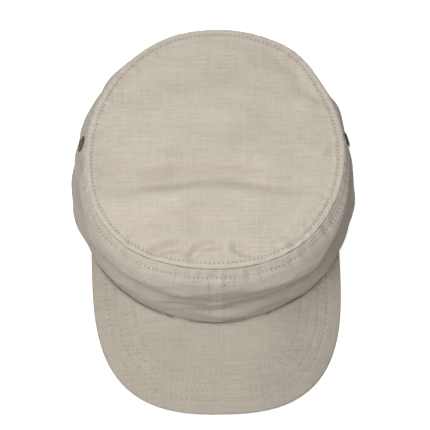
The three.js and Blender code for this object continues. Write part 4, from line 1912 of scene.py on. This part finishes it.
@dataclass
class Peak:
    """The stiffened peak, quilted in rows that follow its edge."""

    form: CapForm = FORM
    sewing: Sewing = SEWING
    columns: int = 380
    edge_steps: int = 5
    near_reach: float = 32 * MM  # from the edge over the quilted band, which has closer faces
    full_reach: float = 40 * MM  # where the peak is shorter than this, the band narrows
    far: float = 64.0  # mm from the edge to the root, at most
    near_step: float = 0.62  # mm
    far_step: float = 1.3
    under_steps: tuple[tuple[float, float], ...] = ((8.0, 1.6), (64.0, 4.5))
    ray_steps: int = 60
    ray_bias: float = 1.2
    binding: float = 0.16 * MM  # dip beside the turned edge
    binding_hump: Hump = Hump(3.9 * MM, 0.8 * MM)
    edge_fall: float = 0.25 * MM
    edge_fade: Fade = Fade(0.5 * MM, 3.5 * MM)
    quilt_start: Fade = Fade(4 * MM, 8 * MM)
    quilt_end: float = 6 * MM
    bunch_depth: float = 0.12 * MM
    wander_depth: float = 0.35 * MM
    wander_start: Fade = Fade(6 * MM, 30 * MM)
    hem_hump: Hump = Hump(0.1 * MM, 1.1 * MM)
    hem_shade: float = 0.75
    hem_shade_hump: Hump = Hump(0.0, 0.6 * MM)
    side_light: Fade = Fade(-10.0, 60.0)  # degrees round the edge, from under it to its top
    proud: float = 0.5 * MM
    under_crown: float = 3 * MM  # how far the rows of stitches run on under the crown
    wander: Ripple = Ripple(60 * MM, 34 * MM, 41)
    bunch: Ripple = Ripple(7 * MM, 40 * MM, 43)

    def edge_line(self) -> tuple[Array, Array]:
        """Close points of the outer edge in plan, and the length up to each."""
        line = self.form.peak_edge(np.sin(np.linspace(-1.0, 1.0, 1201) * math.pi / 2))
        return line, arc_lengths(line)

    def from_edge(self, plan: Array) -> tuple[Array, Array]:
        """Distance from the outer edge and length along it.

        Args:
            plan: points in plan.

        Returns:
            For each point, its distance from the edge, and how far along the edge the
            nearest place is.
        """
        line, length = self.edge_line()
        flat = plan.reshape(-1, 3)[:, :2]
        away, along = np.empty(len(flat)), np.empty(len(flat))
        batch = 2000  # keeps the table of gaps small
        for start in range(0, len(flat), batch):
            part = slice(start, start + batch)
            gaps = np.hypot(*(flat[part, None, axis] - line[None, :, axis] for axis in (0, 1)))
            nearest = np.argmin(gaps, axis=1)
            away[part] = gaps[np.arange(len(gaps)), nearest]
            along[part] = length[nearest]
        shape = plan.shape[:-1]
        return away.reshape(shape), along.reshape(shape)

    def relief(self, away: Array, along: Array, plan: Array) -> Array:
        """Height of the quilted cloth over the smooth peak.

        Args:
            away: distance from the outer edge.
            along: length along the outer edge.
            plan: points in plan.

        Returns:
            Distance upwards at each place.
        """
        sewing = self.sewing
        lift = -self.binding * self.binding_hump.at(away)
        lift = lift - self.edge_fall * (1 - self.edge_fade.at(away))
        for inset in sewing.peak_insets:
            lift -= sewing.peak_groove * Hump(inset, sewing.groove_reach).at(away)
        last = sewing.peak_insets[-1]
        quilted = self.quilt_start.at(away) * (1 - smooth_step(last, last + self.quilt_end, away))
        lift += self.bunch_depth * self.bunch.at(along, away) * quilted
        wander = self.wander.at(plan[..., 0], plan[..., 1])
        lift += self.wander_depth * wander * self.wander_start.at(away)
        return lift - sewing.hem_groove * self.hem_hump.at(self.from_rim(plan))

    def from_rim(self, plan: Array) -> Array:
        """Distance outside the rim of the crown, in plan."""
        return (self.rim_share(plan) - 1) * self.form.rim_length / 2

    def rim_share(self, plan: Array) -> Array:
        """Distance from the crown's middle, 1 on the rim."""
        half_width, half_length = self.form.rim_width / 2, self.form.rim_length / 2
        return np.hypot(plan[..., 0] / half_width, plan[..., 1] / half_length)

    def rays(self) -> Rays:
        """Lines over the peak's top from its edge to its root.

        Returns:
            The lines, one for each column.
        """
        share = np.sin(np.linspace(-1.0, 1.0, self.columns + 1) * math.pi / 2)
        edge, root = self.form.peak_edge(share), self.form.peak_root(share)
        steps = np.linspace(0.0, 1.0, self.ray_steps) ** self.ray_bias
        lines = edge[:, None] + (root - edge)[:, None] * steps[None, :, None]
        away, _ = self.from_edge(lines)
        away = np.maximum.accumulate(away + steps * 1e-6, axis=1)
        return Rays(edge, root, steps, away)

    def plan(self, wanted: Array) -> Array:
        """Set rows of points over the peak, seen from above.

        Args:
            wanted: distance of each row from the edge, where the peak is long enough.

        Returns:
            For each column and row, a point in plan.
        """
        rays, round_radius = self.rays(), self.form.peak_thickness / 2
        plan = np.empty((self.columns + 1, len(wanted), 3))
        for index in range(self.columns + 1):
            reach = rays.away[index, -1]
            near = self.near_reach * min(1.0, reach / self.full_reach)
            outer = wanted * near / self.near_reach
            beyond = (wanted - self.near_reach) * (reach - near)
            inner = near + beyond / (self.far * MM - self.near_reach)
            asked = np.where(wanted <= self.near_reach, outer, inner)
            asked = np.where(wanted <= round_radius, wanted, asked)
            place = np.interp(asked, rays.away[index], rays.steps)
            plan[index] = rays.edge[index] + (rays.root[index] - rays.edge[index]) * place[:, None]
        return plan

    def build(self, finishes: Finishes) -> Piece:
        """Make the peak as one closed body.

        Args:
            finishes: the scene's materials.

        Returns:
            The peak.
        """
        form, round_radius = self.form, self.form.peak_thickness / 2
        top_steps = [(self.near_reach / MM, self.near_step), (self.far, self.far_step)]
        top = spaced(top_steps, round_radius / MM) * MM
        under = spaced(self.under_steps, round_radius / MM) * MM
        turns = np.linspace(90.0, -90.0, 2 * self.edge_steps + 1)[1:-1]
        bend = round_radius * (1 - np.cos(np.radians(turns)))
        wanted = np.concatenate([top[::-1], bend, under])
        bend_drop = round_radius * (1 - np.sin(np.radians(turns)))
        drop = np.concatenate([0 * top, bend_drop, 0 * under + form.peak_thickness])
        is_top = np.concatenate([np.ones(len(top)), self.side_light.at(turns), 0 * under])
        plan = self.plan(wanted)
        off, along = self.from_edge(plan)
        points = plan.copy()
        lift = self.relief(off, along, plan)
        points[..., 2] = form.peak_top(plan[..., 0], plan[..., 1]) - drop + lift * is_top
        points, plan, off, along, lift = (
            np.concatenate([part, part[:, :1]], axis=1) for part in (points, plan, off, along, lift)
        )
        is_top = np.append(is_top, is_top[0])
        piece, column, row = flat_cloth("peak_quilted", self.columns, len(wanted))
        set_points(piece, points[column, row])
        set_cloth_map(piece, points[column, row, 0], points[column, row, 1])
        set_value(piece, "wear", (lift_tone(lift, self.proud) * is_top)[column, row])
        # Painted shade where the crown's hem lies on the peak.
        gap = self.hem_shade * self.hem_shade_hump.at(self.from_rim(plan)) * is_top
        set_value(piece, "gap", gap[column, row])
        set_value(piece, "edge_along", along[column, row])
        set_value(piece, "edge_off", np.where(is_top > 0.5, off, 0.1)[column, row])
        self.close_root(piece)
        soften(piece)
        dress(piece, finishes.peak_cloth, "peak_cloth", "peak")
        return piece

    @staticmethod
    def close_root(piece: Piece) -> None:
        """Join the hidden root edge, close both ends and turn every face outwards.

        Args:
            piece: the peak.
        """
        select_only(piece)
        bpy.ops.object.mode_set(mode="EDIT")
        bpy.ops.mesh.select_mode(type="VERT")
        bpy.ops.mesh.select_all(action="SELECT")
        bpy.ops.mesh.remove_doubles(threshold=1e-6)
        bpy.ops.mesh.fill_holes(sides=0)
        merge_and_turn_out()

    def stitch(self, maker: StitchMaker, finishes: Finishes) -> None:
        """Sew the rows that follow the edge, up to where they go under the crown.

        Args:
            maker: the stitch.
            finishes: the scene's materials.
        """
        form, sewing = self.form, self.sewing
        line, _ = self.edge_line()
        tangent = unit(np.gradient(line, axis=0))
        inward = np.stack([-tangent[:, 1], tangent[:, 0], np.zeros(len(line))], axis=1)
        for number, inset in enumerate(sewing.peak_insets, start=1):
            plan = line + inward * inset
            away, along = self.from_edge(plan)
            shown = self.rim_share(plan) > 1.0 - self.under_crown / (form.rim_length / 2)
            good = shown & (away > inset - 0.15 * MM)
            plan, along = plan[good], along[good]
            points = plan.copy()
            lift = self.relief(np.full(len(plan), inset), along, plan)
            points[:, 2] = form.peak_top(plan[:, 0], plan[:, 1]) + lift
            name = f"stitches_peak_{number}"
            piece = maker.row(name, points, self.normals(plan), sewing.peak_pitch)
            dress(piece, finishes.thread, "peak_cloth")

    def normals(self, plan: Array) -> Array:
        """Upward normals of the smooth peak at points in plan."""
        top, step = self.form.peak_top, 0.5 * MM
        x, y = plan[:, 0], plan[:, 1]
        slope_x = (top(x + step, y) - top(x - step, y)) / (2 * step)
        slope_y = (top(x, y + step) - top(x, y - step)) / (2 * step)
        return unit(np.stack([-slope_x, -slope_y, np.ones(len(plan))], axis=1))


# Eyelets


@dataclass
class Eyelet:
    """A rolled brass vent ring pressed through the side panel."""

    form: CapForm = FORM
    hole: float = 2.5 * MM
    barrel: float = 3.1 * MM
    outer: float = 5.4 * MM
    flange: float = 0.7 * MM
    segments: int = 56
    # brass polished by use: a share all over the ring, and more on the rolled crown by the bore
    wear: float = 0.25
    rubbed_and_highlight: float = 0.5
    rubbed_and_highlight_hump: Hump = Hump(1.1 * MM, 0.7 * MM)  # from the bore outwards

    def profile(self) -> list[tuple[float, float]]:
        """Outline of the ring's section, from the middle of its bore all round.

        Returns:
            Radius and height of each corner.
        """
        seat = self.form.cloth / 2 + self.form.clearance - 0.1 * MM
        crown = seat + self.flange + 0.25 * MM
        face = [
            (self.hole, 0.0),
            (self.hole, seat),
            (self.hole + 0.15 * MM, crown - 0.35 * MM),
            (self.hole + 0.5 * MM, crown - 0.08 * MM),
            (self.hole + 1.0 * MM, crown),
            (self.hole + 1.6 * MM, crown - 0.1 * MM),
            (self.outer - 0.7 * MM, crown - 0.34 * MM),
            (self.outer - 0.2 * MM, crown - 0.55 * MM),
            (self.outer, crown - 0.8 * MM),
            (self.outer - 0.25 * MM, seat),
            (self.barrel + 0.1 * MM, seat),
            (self.barrel, 0.0),
        ]
        back = [(radius, -height) for radius, height in reversed(face[1:-1])]
        return face + back

    def build(self, side: Side, wall: CrownWall, finishes: Finishes) -> Piece:
        """Make one eyelet.

        Args:
            side: which side panel it goes through.
            wall: the crown's wall.
            finishes: the scene's materials.

        Returns:
            The eyelet.
        """
        profile = self.profile()
        deselect_all()
        bpy.ops.mesh.primitive_circle_add(
            vertices=self.segments, radius=profile[0][0], fill_type="NOTHING"
        )
        piece = bpy.context.object
        piece.name = piece.data.name = f"eyelet_{side.name.lower()}_brass"
        bpy.ops.object.mode_set(mode="EDIT")
        bpy.ops.mesh.select_all(action="SELECT")
        for (radius, height), (next_radius, next_height) in zip(profile, profile[1:]):
            rise = (0.0, 0.0, next_height - height)
            bpy.ops.mesh.extrude_edges_move(TRANSFORM_OT_translate={"value": rise})
            size = next_radius / radius
            middle = (0.0, 0.0, next_height)
            bpy.ops.transform.resize(value=(size, size, 1.0), center_override=middle)
        bpy.ops.object.mode_set(mode="OBJECT")
        self.select_open_edges()
        bpy.ops.mesh.bridge_edge_loops()
        merge_and_turn_out()
        reach = np.array([math.hypot(vertex.co.x, vertex.co.y) for vertex in piece.data.vertices])
        high = np.array([abs(vertex.co.z) for vertex in piece.data.vertices])
        rubbed_and_highlight = self.rubbed_and_highlight_hump.at(reach - self.hole) * (high > self.form.cloth / 2)
        set_value(piece, "wear", self.wear + self.rubbed_and_highlight * rubbed_and_highlight)
        normal = Vector(wall.eyelet_normal(side))
        centre = Vector(wall.eyelet_centre(side)) + CROWN_AXIS - normal * self.form.cloth / 2
        turn = Vector((0.0, 0.0, 1.0)).rotation_difference(normal).to_matrix().to_4x4()
        piece.data.transform(Matrix.Translation(centre) @ turn)
        soften(piece, 60.0)
        dress(piece, finishes.brass, "eyelet_brass", f"eyelet_{side.name.lower()}")
        return piece

    @staticmethod
    def select_open_edges() -> None:
        """Select the ring's first and last circles, which are its only open edges."""
        bpy.ops.object.mode_set(mode="EDIT")
        bpy.ops.mesh.select_mode(type="EDGE")
        bpy.ops.mesh.select_all(action="DESELECT")
        bpy.ops.mesh.select_non_manifold()


# Studio


@dataclass(frozen=True)
class SoftLight:
    """One square soft light that faces the cap."""

    name: str
    place: tuple[float, float, float]
    size: float
    watts: float


@dataclass(frozen=True)
class Studio:
    """The camera, the pale table and soft light."""

    room: float = 0.17
    room_colour: Colour = (1.0, 0.955, 0.89)
    lights: tuple[SoftLight, ...] = (
        SoftLight("front_key", (-0.08, -0.28, 0.72), 0.4, 4.45),
        SoftLight("back_light", (0.0, 0.80, 0.68), 0.6, 3.4),
        SoftLight("left_light", (-0.75, 0.0, 0.55), 0.6, 1.2),
    )
    table_size: float = 6.0
    azimuth: float = -1.0
    elevation: float = 65.0
    distance: float = 1.15
    lens: float = 144.1
    sensor: float = 36.0
    target: tuple[float, float, float] = (0.0, -0.0283, 0.040)

    def camera(self) -> None:
        """Set the camera at the photograph's viewing angle."""
        turn, lift = math.radians(self.azimuth), math.radians(self.elevation)
        level = math.cos(lift)
        back = Vector((math.sin(turn) * level, -math.cos(turn) * level, math.sin(lift)))
        aim = CROWN_AXIS + Vector(self.target)
        deselect_all()
        bpy.ops.object.camera_add(location=aim + back * self.distance)
        camera = bpy.context.object
        camera.rotation_euler = back.to_track_quat("Z", "Y").to_euler()
        camera.data.lens = self.lens
        camera.data.sensor_width = self.sensor
        camera.data.clip_start = 0.05
        bpy.context.scene.camera = camera

    def table(self, finishes: Finishes) -> None:
        """Lay the pale tabletop under the cap.

        Args:
            finishes: the scene's materials.
        """
        deselect_all()
        bpy.ops.mesh.primitive_grid_add(x_subdivisions=4, y_subdivisions=4, size=self.table_size)
        table = bpy.context.object
        table.name = table.data.name = "table"
        table.data.materials.append(finishes.table)

    @staticmethod
    def hang(lamp: SoftLight) -> None:
        """Hang one soft light and turn it to the cap.

        Args:
            lamp: the light.
        """
        deselect_all()
        place = Vector(lamp.place)
        bpy.ops.object.light_add(type="AREA", location=place)
        light = bpy.context.object
        light.name = lamp.name
        light.data.size = lamp.size
        light.data.energy = lamp.watts
        light.rotation_euler = (place - CROWN_MIDDLE).to_track_quat("Z", "Y").to_euler()

    def light(self) -> None:
        """Light the cap from above its front, softened from behind, the left and the room."""
        scene = bpy.context.scene
        world = bpy.data.worlds.new("white_room")
        scene.world = world
        world.use_nodes = True
        shade = world.node_tree.nodes["Background"]
        shade.inputs["Color"].default_value = (*self.room_colour, 1.0)
        shade.inputs["Strength"].default_value = self.room
        for lamp in self.lights:
            self.hang(lamp)
        scene.view_settings.view_transform = "Standard"
        scene.view_settings.look = "None"


def main() -> None:
    """Build the cap in its studio."""
    logging.basicConfig(level=logging.INFO, format="%(name)s: %(message)s")
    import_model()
    studio = Studio()
    studio.camera()
    finishes = Finishes.make()
    studio.table(finishes)
    studio.light()
    maker = StitchMaker()
    peak = Peak()
    peak.build(finishes)
    wall = CrownWall()
    for side in Side:
        wall.build(side, finishes)
    top = CrownTop()
    top.build(finishes)
    eyelet = Eyelet()
    for side in Side:
        eyelet.build(side, wall, finishes)
    peak.stitch(maker, finishes)
    wall.stitch(maker, finishes)
    top.stitch(maker, finishes)


if __name__ == "__main__":
    main()
